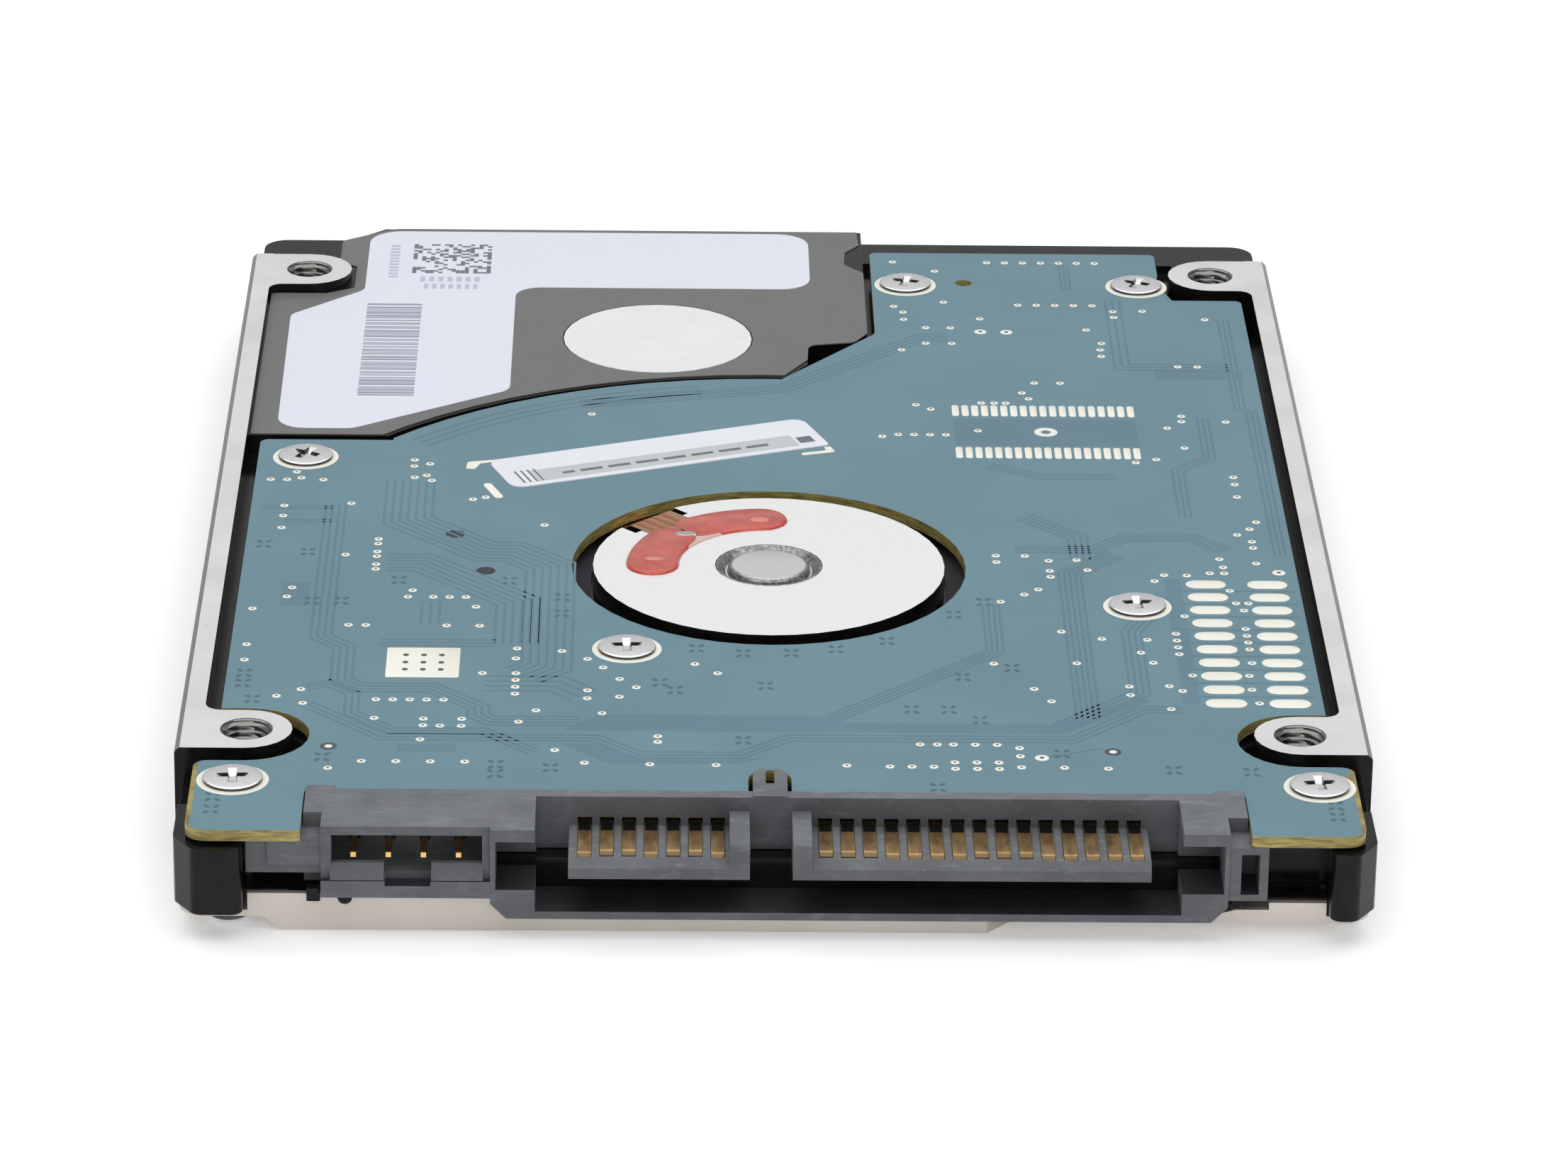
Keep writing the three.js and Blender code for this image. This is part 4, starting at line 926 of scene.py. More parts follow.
def pads():
    """Small tinned rings, the rows of slim pads and the two columns of test pads."""
    tinned = Solid()
    dots = Solid()
    for group in VIAS.values():
        for spot in group:
            tinned.dome(circle(spot, 0.27, 14), PAD_FOOT, PAD_TOP, 0.02, 2)
            dots.prism(circle(spot, 0.09, 8), BOARD_TOP, PAD_TOP + 0.004)
    for spot in BIG_VIAS:
        tinned.dome(circle(spot, 0.42, 18), PAD_FOOT, PAD_TOP, 0.02, 2)
        dots.prism(circle(spot, 0.14, 10), BOARD_TOP, PAD_TOP + 0.004)
    for spot in RINGED_HOLES:
        dots.prism(circle(spot, 0.5, 18), BOARD_TOP, MARK_TOP)
        tinned.dome(circle(spot, 0.24, 14), BOARD_TOP, PAD_TOP, 0.02, 2)
    for x in (26.93, 30.73):
        for i in range(10):
            tinned.dome(stadium(x, -12.85 - 2.0 * i, 2.5, 1.22), PAD_FOOT, BOARD_TOP + 0.035, 0.03, 3)
    for y in (15.9, 8.6):
        for i in range(19):
            x = 12.5 + 0.637 * i
            pad = rounded(rectangle(x - 0.23, y - 0.95, x + 0.23, y + 0.95), 0.2, 3)
            tinned.dome(pad, PAD_FOOT, BOARD_TOP + 0.03, 0.025, 2)
    ring = [(0.32, PAD_FOOT), (0.76, PAD_FOOT), (0.76, PAD_TOP), (0.32, PAD_TOP)]
    tinned.turned(ring, (18.25, 12.2), 32)
    heat = rounded(rectangle(-23.1, -27.8, -18.7, -23.4), 0.15, 3)
    tinned.dome(heat, PAD_FOOT, PAD_TOP, 0.015, 2)
    for x in (-21.95, -20.87, -19.8):
        for y in (-24.5, -25.6, -26.65):
            dots.prism(circle((x, y), 0.19, 10), MARK_TOP, BOARD_TOP + 0.025)
    tin = plastic("pad_tin", CREAM, rough=0.32, grain_mm=0.5, bump=0.05, vary=0.04)
    piece(finish_mesh(tinned, "board_pads", 50), tin, "circuit_board")
    dark = plastic("via_hole", rgb(70, 76, 78), rough=0.6)
    piece(finish_mesh(dots, "board_via_holes"), dark, "circuit_board")


def silk():
    """White ink corners and a short bar round the strip label."""
    ink = Solid()
    left = [(-19.2, 5.2), (-18.6, 5.2), (-18.3, 6.1), (-17.0, 6.55), (-17.1, 6.85), (-19.1, 6.35)]
    right = [(2.4, 7.9), (4.5, 8.55), (4.2, 9.5), (3.75, 9.35), (3.95, 8.8), (2.3, 8.3)]
    ink.prism(rounded(left, 0.12, 2), BOARD_TOP, INK_TOP)
    ink.prism(turned_about(stadium(-17.35, 1.55, 2.6, 0.55), (-17.35, 1.55), -69), BOARD_TOP, INK_TOP)
    ink.prism(rounded(right, 0.12, 2), BOARD_TOP, INK_TOP)
    piece(finish_mesh(ink, "board_ink"), plastic("board_ink", rgb(236, 234, 222), rough=0.6), "circuit_board")


def bends(points):
    """For each point of a bent line: the point, the direction to its left, and how sharp the bend is."""
    for i, point in enumerate(points):
        here = Vector(point)
        before = (here - Vector(points[i - 1])).normalized() if i else None
        after = (Vector(points[i + 1]) - here).normalized() if i < len(points) - 1 else None
        before = before or after
        after = after or before
        square = Vector((-before.y, before.x))
        side = (square + Vector((-after.y, after.x))).normalized()
        yield here, side, max(side.dot(square), 0.4)


def track(solid, points, width, low=TRACK_FOOT, high=TRACK_TOP):
    """A copper track of even width under the resist, along a bent line."""
    left, right = [], []
    for here, side, bend in bends(points):
        side *= width / 2 / bend
        left.append(tuple(here + side))
        right.append(tuple(here - side))
    solid.prism(right + left[::-1], low, high)


def beside(points, distance):
    """The same bent line, moved sideways by distance."""
    return [tuple(here + side * distance / bend) for here, side, bend in bends(points)]


def bundle(solid, points, count, pitch):
    """Narrow tracks side by side along a bent line."""
    for i in range(count):
        track(solid, beside(points, (i - (count - 1) / 2) * pitch), 0.16)


def coat(solid, name, resist, colour):
    """Copper under resist, as a piece of the board."""
    piece(finish_mesh(solid, name), resist_material(resist, colour), "circuit_board")


BUNDLES = [
    ([(-27.6, -31.7), (-23.0, -36.4), (-10.4, -36.4), (-7.9, -38.7), (-2.0, -38.7), (0.9, -36.2),
      (17.6, -36.2), (22.0, -31.8), (24.2, -31.8)], 3, 0.42),
    ([(-22.6, 3), (-22.6, -3.4), (-17.6, -8.4), (-15.8, -8.4), (-13.5, -10.7), (-13.5, -26),
      (-14.9, -27.4)], 7, 0.5),
    ([(-23.6, -10.2), (-21.4, -10.2), (-15.4, -16.2), (-15.4, -22.6)], 6, 0.52),
    ([(-27.2, -1), (-27.2, -21.8), (-25.7, -23.3), (-25.7, -28.2), (-24.6, -29.3), (-20.2, -29.3),
      (-17.4, -32.1), (-17.4, -33.2), (-16.6, -34), (-11.4, -34)], 4, 0.42),
    ([(-17.2, -28.6), (-12.8, -28.6), (-11.2, -30.2)], 4, 0.7),
    ([(-27.8, -29.4), (-26.4, -28.7), (-24.9, -30.2), (-24.9, -33), (-22.4, -35.5), (-17, -35.5),
      (-14, -38.4)], 3, 0.4),
    ([(-20.7, -19.6), (-20.7, -16.4)], 3, 0.55),
    ([(-23.6, -22.6), (-16.6, -22.6)], 3, 0.45),
    ([(13.5, -16.2), (13.5, -23.4), (3.7, -33.2)], 4, 0.34),
    ([(21.6, -8.2), (18.6, -11.2), (18.6, -33.2)], 5, 0.34),
    ([(24.4, -14.5), (21.9, -20.2), (21.9, -29.4), (16.9, -34.4)], 4, 0.38),
    ([(15.4, -7.4), (20.4, -7.4), (22.4, -5.4), (26.6, -5.4), (28.6, -7.4)], 4, 0.36),
    ([(16.2, -2.2), (19.4, -5.4), (19.4, -9)], 4, 0.4),
    ([(-12, 16.6), (1.2, 19.6), (10.8, 29.2), (12.4, 29.2)], 4, 0.42),
    ([(23.9, 36.4), (23.9, 24), (31, 24)], 3, 0.5),
    ([(31.2, 33), (31.2, 16.6), (31.9, 15.9), (31.9, -8)], 3, 0.34),
    ([(28.6, 15), (28.6, 8), (26.4, 5.8), (26.4, -2)], 3, 0.36),
    ([(14.4, 6.4), (17.4, 4.6), (22.4, 4.6)], 3, 0.4),
    ([(20.9, 43.2), (20.9, 38.4)], 3, 0.3),
    ([(-31.9, -1.4), (-27.4, -1.4)], 2, 0.36),
    ([(-30.4, -3.6), (-27.4, -3.6)], 2, 0.36),
    ([(-22, -37.9), (-18.6, -37.9)], 3, 0.34),
    ([(19.2, -37.4), (15.8, -38.7)], 1, 0.3),
]
ZONES = [
    [(-10.2, -33), (3.4, -33), (4.4, -34), (16.6, -34), (21.8, -30), (22.4, -30.6), (17.2, -35.3),
     (-12.4, -35.3)],
    [(-12.4, -37.2), (-9.7, -39.9), (-2, -39.9), (-0.8, -39.1), (-8, -39.1), (-10.4, -37.2)],
    [(12.3, 14.5), (24.2, 14.5), (24.2, 9.9), (12.3, 9.9)],
    [(24.4, -12), (25.4, -12), (25.4, -31), (24.4, -31)],
    [(-29.9, -13.4), (-28.2, -13.4), (-28.2, -17), (-29.9, -17)],
    [(26.0, 23.4), (31.8, 23.4), (31.8, 21.8), (26.0, 21.8)],
]


def tracks():
    """Copper under the resist: it shows only as a faint darker, slightly raised pattern."""
    lines = Solid()
    for points, count, pitch in BUNDLES:
        bundle(lines, points, count, pitch)
    for i in range(9):
        y = -13.85 - 2.0 * i
        track(lines, [(24.4, y), (32.4, y)], 0.2)
    for radius in (29.2, 29.9, 30.6):
        track(lines, circle(SPINDLE, radius, 24, 98, 138), 0.18)
    coat(lines, "board_tracks", "track_resist", rgb(88, 121, 138))
    zones = Solid()
    for zone in ZONES:
        zones.prism(zone, TRACK_FOOT, BOARD_TOP + 0.0042)
    coat(zones, "board_zones", "zone_resist", rgb(93, 125, 140))


def crosses():
    """Small star marks: four short strokes about a point."""
    strokes = Solid()
    for x, y in FAINT_CROSSES:
        for dx, dy in ((-0.28, 0.4), (0.28, 0.4), (-0.28, -0.4), (0.28, -0.4)):
            spot = stadium(x + dx, y + dy, 0.46, 0.24, 4)
            angle = 50 if dx * dy > 0 else -50
            strokes.prism(turned_about(spot, (x + dx, y + dy), angle), TRACK_FOOT, MARK_TOP)
    coat(strokes, "board_star_marks", "mark_resist", rgb(72, 102, 114))


def bare_copper():
    """A small patch of copper left bare at the near right edge."""
    patch = Solid()
    patch.prism(rounded(rectangle(33.05, -43.0, 33.45, -41.2), 0.12, 3), PAD_FOOT, BOARD_TOP + 0.012)
    holder = finish_mesh(patch, "board_bare_copper")
    piece(holder, metal("bare_copper", rgb(206, 132, 74), rough=0.3), "circuit_board")


def holes():
    """Two dark plugs that stand for the tooling holes. The board has no opening there."""
    rims = Solid()
    for spot in TOOL_HOLES:
        rims.prism(circle(spot, 0.6, 32), BOARD_TOP - 0.3, BOARD_TOP + 0.004)
    holder = finish_mesh(rims, "board_tool_holes")
    piece(holder, plastic("tool_hole", rgb(38, 40, 42), rough=0.5), "circuit_board")


def screw_lands():
    """A tinned land round every screw hole in the board."""
    lands = Solid()
    top = BOARD_TOP + 0.03
    ring = [(1.0, PAD_FOOT), (2.1, PAD_FOOT), (2.1, PAD_TOP), (2.05, top), (1.0, top)]
    for spot in BOARD_SCREWS:
        lands.turned(ring, spot, 48)
    holder = finish_mesh(lands, "screw_lands")
    piece(holder, plastic("land_tin", CREAM, rough=0.35, vary=0.05), "circuit_board")


def dress_board():
    """Everything that lies on the board's seen face, apart from the screws and the strip label."""
    pads()
    silk()
    tracks()
    crosses()
    bare_copper()
    holes()
    screw_lands()


# ---------- screws ----------

SCREW_HEAD = 1.75
SCREW_SHANK = 0.7
SCREW_PITCH = 0.4
HEAD_RIM = 0.14
HEAD_CROWN = 0.08
RECESS_DEPTH = 0.5
RECESS_SHARE = 0.85
RECESS_REACH = 0.6
RECESS_WIDE = 0.28
# A screw in the cover side is turned over, so that height z becomes FLIP - z
FLIP = 3.3


def cross_cutters(top, depth, reach):
    """Two tapered bars that cross, as a driver bit leaves them."""
    for along in (True, False):
        rings = []
        for long, wide in ((reach * 0.5, RECESS_WIDE * 0.7), (reach, RECESS_WIDE)):
            half_x, half_y = (long, wide) if along else (wide, long)
            rings.append(rectangle(-half_x, -half_y, half_x, half_y))
        yield finish_mesh(Solid().loft(rings, [top - depth, top + 0.05]), "cross_cutter")


def screw_mesh(seat, top, tip, radius=SCREW_HEAD):
    """A pan head screw standing on seat, with its head up to top and its thread down to tip."""
    body = Solid()
    profile = [(0, tip), (SCREW_SHANK * 0.6, tip), (SCREW_SHANK, tip + 0.3)]
    for i in range(int((seat - tip - 0.5) / SCREW_PITCH)):
        low = tip + 0.35 + i * SCREW_PITCH
        profile += [(SCREW_SHANK - 0.12, low), (SCREW_SHANK, low + SCREW_PITCH * 0.4)]
    profile += [(SCREW_SHANK, seat - 0.05), (SCREW_SHANK, seat), (radius - 0.04, seat), (radius, seat + 0.04)]
    for i in range(5):
        angle = math.pi / 2 * i / 4
        profile.append((
            radius - HEAD_RIM + HEAD_RIM * math.cos(angle),
            top - HEAD_CROWN - HEAD_RIM * 0.8 + HEAD_RIM * 0.8 * math.sin(angle),
        ))
    profile += [(radius * 0.6, top - HEAD_CROWN * 0.3), (radius * 0.3, top), (0, top)]
    body.turned(profile, (0, 0), 56)
    head = finish_mesh(body, "screw", 40)
    for cutter in cross_cutters(top, min(RECESS_DEPTH, (top - seat) * RECESS_SHARE), radius * RECESS_REACH):
        cut_out(head, cutter)
    shade_smooth(head, 35)
    data = head.data
    bpy.data.objects.remove(head)
    return data


def place_screw(name, data, spot, spin, flipped, material, body=BODY):
    """One screw of its own mesh, turned by spin degrees. A flipped one stands head down."""
    holder = bpy.data.objects.new(f"{name}_fine", data.copy())
    turn = Matrix.Rotation(math.radians(spin), 4, "Z")
    if flipped:
        turn = Matrix.Translation((0, 0, FLIP * MM)) @ Matrix.Rotation(math.pi, 4, "X") @ turn
    holder.data.transform(Matrix.Translation((spot[0] * MM, spot[1] * MM, 0)) @ turn)
    bpy.context.scene.collection.objects.link(holder)
    piece(holder, material, "screw_steel", body, (name,))


def place_screws(material):
    """The screws of the board, the cover, the pivot and the disk clamp."""
    board = screw_mesh(BOARD_TOP + 0.02, TOP, 4.72)
    for i, (spot, spin) in enumerate(zip(BOARD_SCREWS, (62, 78, 70, 4, 3, 3, 5))):
        place_screw(f"board_screw_{i + 1}", board, spot, spin, False, material)
    cover = screw_mesh(2.5, 3.15, 0.0, radius=1.2)
    for i, spot in enumerate(COVER_SCREWS):
        place_screw(f"cover_screw_{i + 1}", cover, spot, 20 + 37 * i, True, material)
    middle = screw_mesh(2.8, 3.2, 0.1)
    place_screw("pivot_screw", middle, PIVOT, 30, True, material)
    clamp = screw_mesh(2.18, 2.58, 0.5, radius=2.1)
    place_screw("clamp_screw", clamp, SPINDLE, 10, True, material, "spindle")


# ---------- tapped holes ----------

HOLE_CREST = 1.25
HOLE_ROOT = 1.5
HOLE_DEPTH = 3.0
# Between the root of the thread and the outside of its liner
HOLE_CUT_RADIUS = 1.54
MOUTH_DEPTH = 0.18
LINER_RADIUS = 1.56
THREAD_PITCH = 0.42


def thread_radius(turn, depth):
    """Radius of the thread after so many turns. It widens to its root within MOUTH_DEPTH of the mouth."""
    radius = HOLE_CREST + (HOLE_ROOT - HOLE_CREST) * abs(turn % 1.0 * 2 - 1)
    near_mouth = max(0.0, 1 - depth / MOUTH_DEPTH)
    return max(radius, HOLE_CREST + near_mouth * (HOLE_ROOT - HOLE_CREST))


def around(centre, radii, height):
    """One point for each radius, evenly spaced about an upright axis."""
    for i, radius in enumerate(radii):
        angle = 2 * math.pi * i / len(radii)
        yield (centre[0] + radius * math.cos(angle), centre[1] + radius * math.sin(angle), height)


def tapped_liner(solid, centre, low, high):
    """A sleeve with screw thread inside."""
    steps = 40
    layers = max(int((high - low) / THREAD_PITCH * 6), 2)
    rings = []
    for k in range(layers + 1):
        height = low + (high - low) * k / layers
        radii = [thread_radius(height / THREAD_PITCH - i / steps, high - height) for i in range(steps)]
        rings.append(solid.ring(around(centre, radii, height)))
    outside = [solid.ring(around(centre, [LINER_RADIUS] * steps, height)) for height in (low, high)]
    loop = rings + outside[::-1]
    for lower, upper in zip(loop, loop[1:] + loop[:1]):
        solid.wall(lower, upper)


def tapped_holes():
    """Bright thread in the four holes that face the board side."""
    liners = Solid()
    for spot in MOUNTS:
        tapped_liner(liners, spot, TOP - HOLE_DEPTH, TOP - 0.02)
    holder = finish_mesh(liners, "tapped_holes", 25)
    piece(holder, metal("tapped_metal", rgb(140, 138, 136), rough=0.24, bump=0.05), "base_casting")


# ---------- motor face ----------

def arc_band(centre, inner, outer, start, end, steps=36):
    """A bent strip with round ends, as an outline. Angles in degrees."""
    middle = (inner + outer) / 2
    half = (outer - inner) / 2
    points = circle(centre, outer, steps, start, end)
    for angle, turn in ((end, 0), (start, 180)):
        radians = math.radians(angle)
        cap = (centre[0] + middle * math.cos(radians), centre[1] + middle * math.sin(radians))
        first = angle + turn
        points += circle(cap, half, 10, first, first + 180)[1:-1]
        if turn == 0:
            points += circle(centre, inner, steps, end, start)
    return points


def motor_centre(material):
    """The bearing sleeve: a polished bevel, a groove and a flat plug, bored inside for the turning shaft."""
    solid = Solid()
    bore = [(0, 6.0), (1.3, 6.0), (1.3, 2.6), (2.4, 2.6), (2.4, 4.0), (3.3, 4.3)]
    # Radius, and height above the motor face
    end = [
        (3.3, -0.02), (3.24, 0.02), (3.12, -0.02), (2.78, -0.34), (2.7, -0.4), (2.6, -0.4), (2.56, -0.34),
        (2.52, -0.12), (2.44, -0.02), (2.28, 0.04), (2.2, 0.05), (0, 0.05),
    ]
    solid.turned(bore + [(radius, MOTOR_FACE + height) for radius, height in end], SPINDLE, 96)
    holder = finish_mesh(solid, "motor_sleeve_fine", 20)
    piece(holder, material, "motor_sleeve", replaces=("motor_sleeve",))


def resin_material():
    """Glossy red resin, cloudy in its depth."""
    nodes = Nodes("motor_resin_fine")
    cloud = nodes.noise(1.4, 3)
    deep = nodes.noise(4, 2)
    nodes.colour(nodes.mix(nodes.range(cloud, 0.3, 0.7), rgb(170, 50, 36), rgb(204, 84, 66)))
    nodes.roughness(nodes.range(deep, 0.3, 0.7, 0.06, 0.12))
    nodes.shader.inputs["Coat Weight"].default_value = 0.5
    nodes.bump(cloud, 0.25, 0.05)
    return nodes.material


def motor_resin():
    """Red potting resin over the coil joints, clear between the lobes, with three solder mounds under it."""
    resin = Solid()
    for start, end in ((93, 127), (147, 181)):
        resin.dome(arc_band(SPINDLE, 5.55, 8.85, start, end, 20), MOTOR_FACE, MOTOR_FACE + 0.23, 0.3, 5)
    holder = finish_mesh(resin, "motor_resin_fine", 50)
    piece(holder, resin_material(), "motor_resin", replaces=("motor_resin",))
    clear = Solid()
    clear.dome(arc_band(SPINDLE, 5.5, 8.3, 124, 150, 14), MOTOR_FACE, MOTOR_FACE + 0.16, 0.2, 4)
    film = plastic("clear_resin", rgb(206, 178, 168), rough=0.1, bump=0.3, vary=0.06)
    piece(finish_mesh(clear, "motor_resin_clear", 50), film, "motor_resin")
    solder = metal("solder", rgb(214, 206, 202), rough=0.12, bump=0.3)
    mound("solder_middle", (-5.15, -5.9, 0.8, 0.55), 0.25, solder)
    coated = plastic("coated_solder", rgb(212, 132, 118), rough=0.08, bump=0.4, vary=0.1)
    mound("solder_right", (-0.5, -3.6, 0.72, 0.5), 0.265, coated)
    mound("solder_left", (-7.1, -10.0, 0.75, 0.42), 0.265, coated)


def mound(name, ellipse, height, material):
    """A low rounded heap of solder. ellipse is its centre and its two half widths."""
    x, y, wide, deep = ellipse
    angles = [2 * math.pi * i / 28 for i in range(28)]
    outline = [(x + wide * math.cos(angle), y + deep * math.sin(angle)) for angle in angles]
    solid = Solid()
    solid.dome(outline, MOTOR_FACE, MOTOR_FACE + height, 0.25, 6)
    piece(finish_mesh(solid, f"motor_{name}", 50), material, "motor_resin")


def motor_flex():
    """The film that carries the motor's leads out over the rim, with four copper tracks."""
    half = 1.75
    film = Solid()
    copper = Solid()
    across = Vector((math.cos(math.radians(45)), math.sin(math.radians(45))))
    along = Vector((-across.y, across.x))
    middle = Vector(SPINDLE)

    def spot(out, side):
        return tuple(middle + along * out + across * side)

    def slope_strip(solid, left, right, lift, thick):
        """A strip that follows the slope outside the rim."""
        for (near, near_z), (far, far_z) in zip(slope, slope[1:]):
            corners = [(near, left, near_z), (near, right, near_z), (far, right, far_z), (far, left, far_z)]
            sheet([spot(out, side) + (z + lift,) for out, side, z in corners], solid, thick)

    top = MOTOR_FACE + 0.05
    rim = 10.4
    slope = [(rim, top), (11.3, top - 0.5), (12.4, 5.7)]
    flat = [spot(7.0, -half), spot(7.0, half), spot(rim, half), spot(rim, -half)]
    film.prism(flat, MOTOR_FACE + 0.005, top)
    slope_strip(film, -half, half, 0, 0.05)
    for i in range(4):
        side = -1.2 + i * 0.72
        tail = [spot(rim, side), spot(7.9 - 0.2 * i, side), spot(6.9 - 0.35 * i, side - 0.9)]
        track(copper, tail, 0.3, top - 0.01, top + 0.03)
        slope_strip(copper, side - 0.15, side + 0.15, 0.03, 0.03)
    holder = finish_mesh(film, "motor_flex_film")
    brown = plastic("flex_film", rgb(150, 112, 84), rough=0.2)
    piece(holder, brown, "motor_flex", replaces=("motor_flex",))
    holder = finish_mesh(copper, "motor_flex_copper")
    piece(holder, metal("flex_copper", rgb(206, 132, 84), rough=0.25), "motor_flex")


def sheet(corners, solid, thick):
    """A flat four-cornered film of even thickness hanging below its corners."""
    upper = solid.ring(corners)
    lower = solid.ring((x, y, z - thick) for x, y, z in corners)
    solid.mesh.faces.new(upper)
    solid.mesh.faces.new(lower[::-1])
    solid.wall(lower, upper)


# ---------- connector ----------

CONTACT_WIDTH = 0.76
CONTACT_TOP = 5.2
CONTACT_ROOT = -44.0
TONGUE_TIP = -49.3
# Contacts whose tips stand back a little, by place in the row
LATE_SIGNAL = (1, 2, 4, 5)
LATE_POWER = (0, 1, 2, 7, 8, 9)


def contact_profile(tip):
    """Side view of a contact, (y, z): flat along the tongue, with a tip that bends down over its edge."""
    top = CONTACT_TOP
    return [
        (CONTACT_ROOT, top), (tip + 0.5, top), (tip + 0.2, top - 0.06), (tip + 0.03, top - 0.2),
        (tip + 0.03, top - 0.25), (tip + 0.4, top - 0.22), (CONTACT_ROOT, top - 0.22),
    ]


def contact_material():
    """Gold flash that is bronze on the worn top face, with a painted highlight on the other edges and painted
    shade on the ends that face the front.
    """
    nodes = Nodes("contact_gold_fine")
    normal = nodes.axes(nodes.add("ShaderNodeTexCoord").outputs["Normal"])
    flat = nodes.range(normal["Z"], 0.9, 0.99)
    wear = nodes.noise(0.5, 3, (1, 0.3, 1))
    bronze = nodes.mix(nodes.range(wear, 0.3, 0.7), rgb(142, 113, 76), rgb(180, 149, 102))
    # Painted light: ends that face the front get painted shade, and the other edges a painted highlight.
    tip = nodes.range(normal["Y"], -0.15, -0.35)
    edge = nodes.mix(tip, rgb(240, 212, 150), rgb(120, 98, 68))
    nodes.colour(nodes.mix(flat, edge, bronze))
    nodes.roughness(nodes.range(wear, 0.3, 0.7, 0.26, 0.36))
    nodes.shader.inputs["Metallic"].default_value = 0.85
    return nodes.material


def contacts():
    """The two rows of contacts, and dark blocks of painted shadow in the slots behind them."""
    material = contact_material()
    half = CONTACT_WIDTH / 2
    rows = (("signal_contacts", SIGNAL_XS, LATE_SIGNAL), ("power_contacts", POWER_XS, LATE_POWER))
    for name, xs, late in rows:
        solid = Solid()
        for i, x in enumerate(xs):
            tip = TONGUE_TIP + (0.35 if i in late else 0.05)
            solid.bar(contact_profile(tip), x - half, x + half)
        solid.box(xs[0] - half, xs[-1] + half, CONTACT_ROOT, -43.5, CONTACT_TOP - 0.24, CONTACT_TOP - 0.02)
        holder = finish_mesh(solid, f"{name}_fine")
        rounding = holder.modifiers.new("rounding", "BEVEL")
        rounding.width = 0.06 * MM
        rounding.segments = 2
        apply_modifiers(holder)
        even_normals(holder)
        piece(holder, material, "contact_gold", replaces=(name,))
    # Dark boxes of painted shadow, in the slots behind the contacts.
    wells = Solid()
    for x in SIGNAL_XS + POWER_XS:
        wells.box(x - 0.35, x + 0.35, -46.0, -44.9, CONTACT_TOP - 0.1, CONTACT_TOP + 0.015)
    holder = finish_mesh(wells, "contact_well_shadows")
    piece(holder, plastic("well_shadow", rgb(14, 14, 15), rough=0.9, specular=0.1), "sata_housing")


def jumper_pins(material):
    """Four square pins with tapered tips."""
    solid = Solid()
    half = 0.2
    z = 4.95
    square = ((-1, -1), (1, -1), (1, 1), (-1, 1))
    for x in JUMPER_XS:
        rings = []
        for y, size in ((-43.6, half), (-48.85, half), (-48.95, half * 0.75)):
            rings.append(solid.ring((x + a * size, y, z + b * size) for a, b in square))
        for near, far in zip(rings, rings[1:]):
            solid.wall(near, far)
        solid.mesh.faces.new(rings[0])
        solid.mesh.faces.new(rings[-1][::-1])
    solid.box(JUMPER_XS[0] - half, JUMPER_XS[-1] + half, -43.6, -43.5, z - half, z + half)
    piece(finish_mesh(solid, "jumper_pins_fine", 20), material, "jumper_pins", replaces=("jumper_pins",))


def jumper_lips(material):
    """The sloping lower lip of the jumper window, either side of its key notch."""
    lips = Solid()
    slope = [(-49.645, 3.65), (-49.645, 3.82), (-49.05, 4.5), (-48.7, 4.5), (-48.7, 3.65)]
    lips.bar(slope, -25.4, -22.35)
    lips.bar(slope, -19.65, -16.7)
    piece(finish_mesh(lips, "jumper_lips"), material, "sata_housing")


# ---------- cover ----------

SKIRT_FRONT = -48.5
SKIRT_THICK = 0.34


def cover_skirt(material):
    """The drawn front wall of the cover, between the two corner posts."""
    outline = [
        (-30.2, 0.85), (-29.3, 0.8), (-28.5, 0.1), (-28.1, 0.03), (8.4, 0.03), (9.4, 0.3), (10.4, 0.8),
        (31.6, 0.85), (31.6, 2.05), (28.3, 2.05), (28.3, 1.6), (26.4, 1.6), (25.0, 1.22), (-15.6, 1.22),
        (-16.5, 2.28), (-30.2, 2.28),
    ]
    solid = Solid()
    front = solid.ring((x, SKIRT_FRONT - 0.02, z) for x, z in outline)
    back = solid.ring((x, SKIRT_FRONT + SKIRT_THICK, z) for x, z in outline)
    solid.mesh.faces.new(front)
    solid.mesh.faces.new(back[::-1])
    solid.wall(front, back)
    piece(finish_mesh(solid, "cover_skirt"), material, "top_cover")


def locating_pegs(material):
    """Two round pegs and a small lug under the connector, in front of the cover."""
    solid = Solid()
    for x in (-24.6, 26.35):
        solid.turned([(0, -49.2), (0.3, -49.2), (0.42, -49.1), (0.42, -48.6), (0, -48.6)], (x, 2.3), 24, "Y")
    solid.prism(rounded(rectangle(-26.8, -49.2, -26.0, -48.6), 0.15, 3), 2.1, 2.9)
    piece(finish_mesh(solid, "locating_pegs"), material, "sata_housing")


# ---------- casting ----------

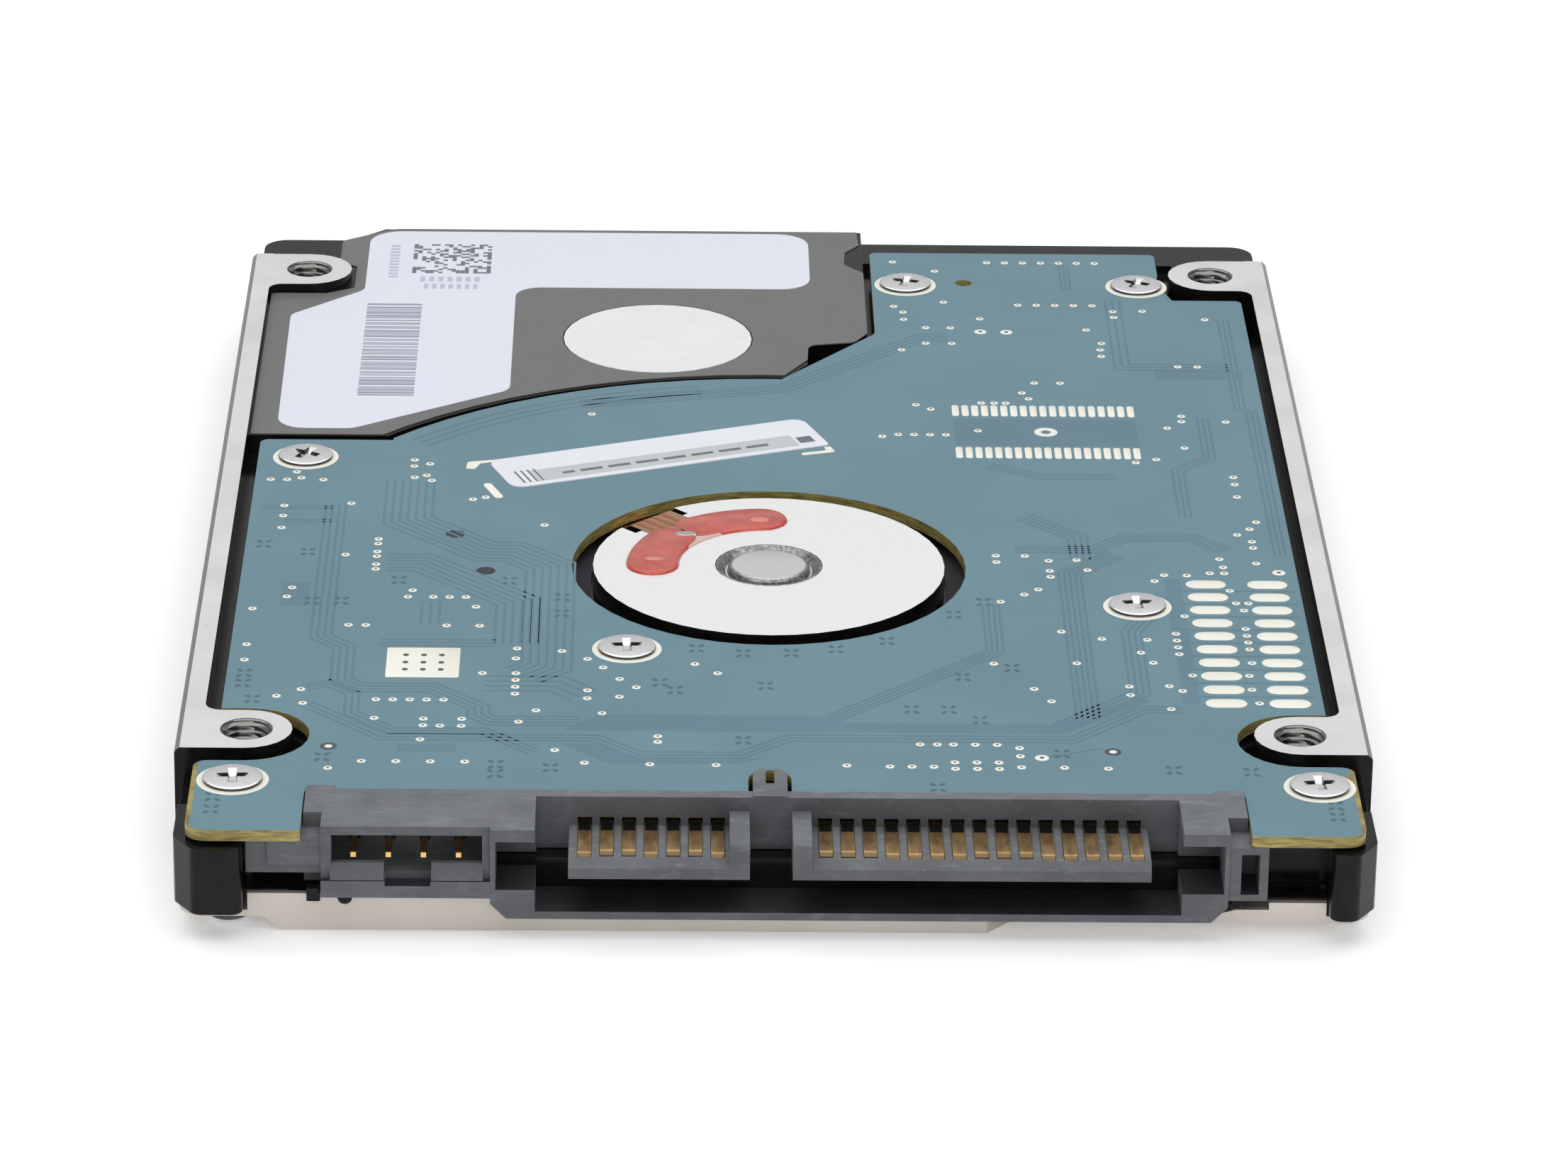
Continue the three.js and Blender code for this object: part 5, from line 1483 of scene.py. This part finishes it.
RAIL_INNER = 33.45
INNER_FILLET = 0.9
NEAR_BOSS_HALF = 2.7
FAR_BOSS_HALF = 2.9


def fine_casting(material):
    """The base casting with its holes opened to the root of their threads and its inner corners filled."""
    cuts = Solid()
    for spot in MOUNTS:
        cuts.prism(circle(spot, HOLE_CUT_RADIUS, 48), TOP - HOLE_DEPTH - 0.05, TOP + 1)
    piece(refined("base_casting", 0.12, cuts=cuts), material, "base_casting", replaces=("base_casting",))
    fillets = Solid()
    for side in (-1, 1):
        corner_fillet(fillets, side, MOUNT_NEAR_Y + NEAR_BOSS_HALF, 1)
        corner_fillet(fillets, side, MOUNT_FAR_Y - FAR_BOSS_HALF, -1)
    piece(finish_mesh(fillets, "rail_fillets"), material, "base_casting")


def corner_fillet(solid, side, y, up):
    """A concave corner between a rail and the straight side of its boss."""
    centre = (RAIL_INNER - INNER_FILLET, y + up * INNER_FILLET)
    arc = [(centre[0] + INNER_FILLET * math.cos(a), centre[1] - up * INNER_FILLET * math.sin(a))
           for a in (math.pi / 2 * i / 8 for i in range(9))]
    points = [(side * px, py) for px, py in arc + [(RAIL_INNER + 0.05, y - up * 0.05)]]
    area = sum(a[0] * b[1] - b[0] * a[1] for a, b in zip(points, points[1:] + points[:1]))
    solid.prism(points if area > 0 else points[::-1], 5.0, TOP - 0.001)


# ---------- the object ----------

place_camera()
build_stage()
light_stage()
slots = slot_materials()
dress_frame(slots)
print_label()
print_board_label()
dress_board()
place_screws(slots["pivot_screw"])
tapped_holes()
motor_centre(slots["motor_sleeve"])
motor_resin()
motor_flex()
fine_casting(slots["base_casting"])
contacts()
jumper_pins(slots["jumper_pins"])
cover_skirt(slots["top_cover"])
locating_pegs(slots["base_casting"])
jumper_lips(slots["sata_housing"])
for node, width in (("sata_housing", 0.06), ("circuit_board", 0.04), ("top_cover", 0.1)):
    piece(refined(node, width), slots[node], node, replaces=(node,))

boxes = {"cad": cad_box, "visual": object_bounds()}
{name: [list(corner) for corner in box] for name, box in boxes.items()}
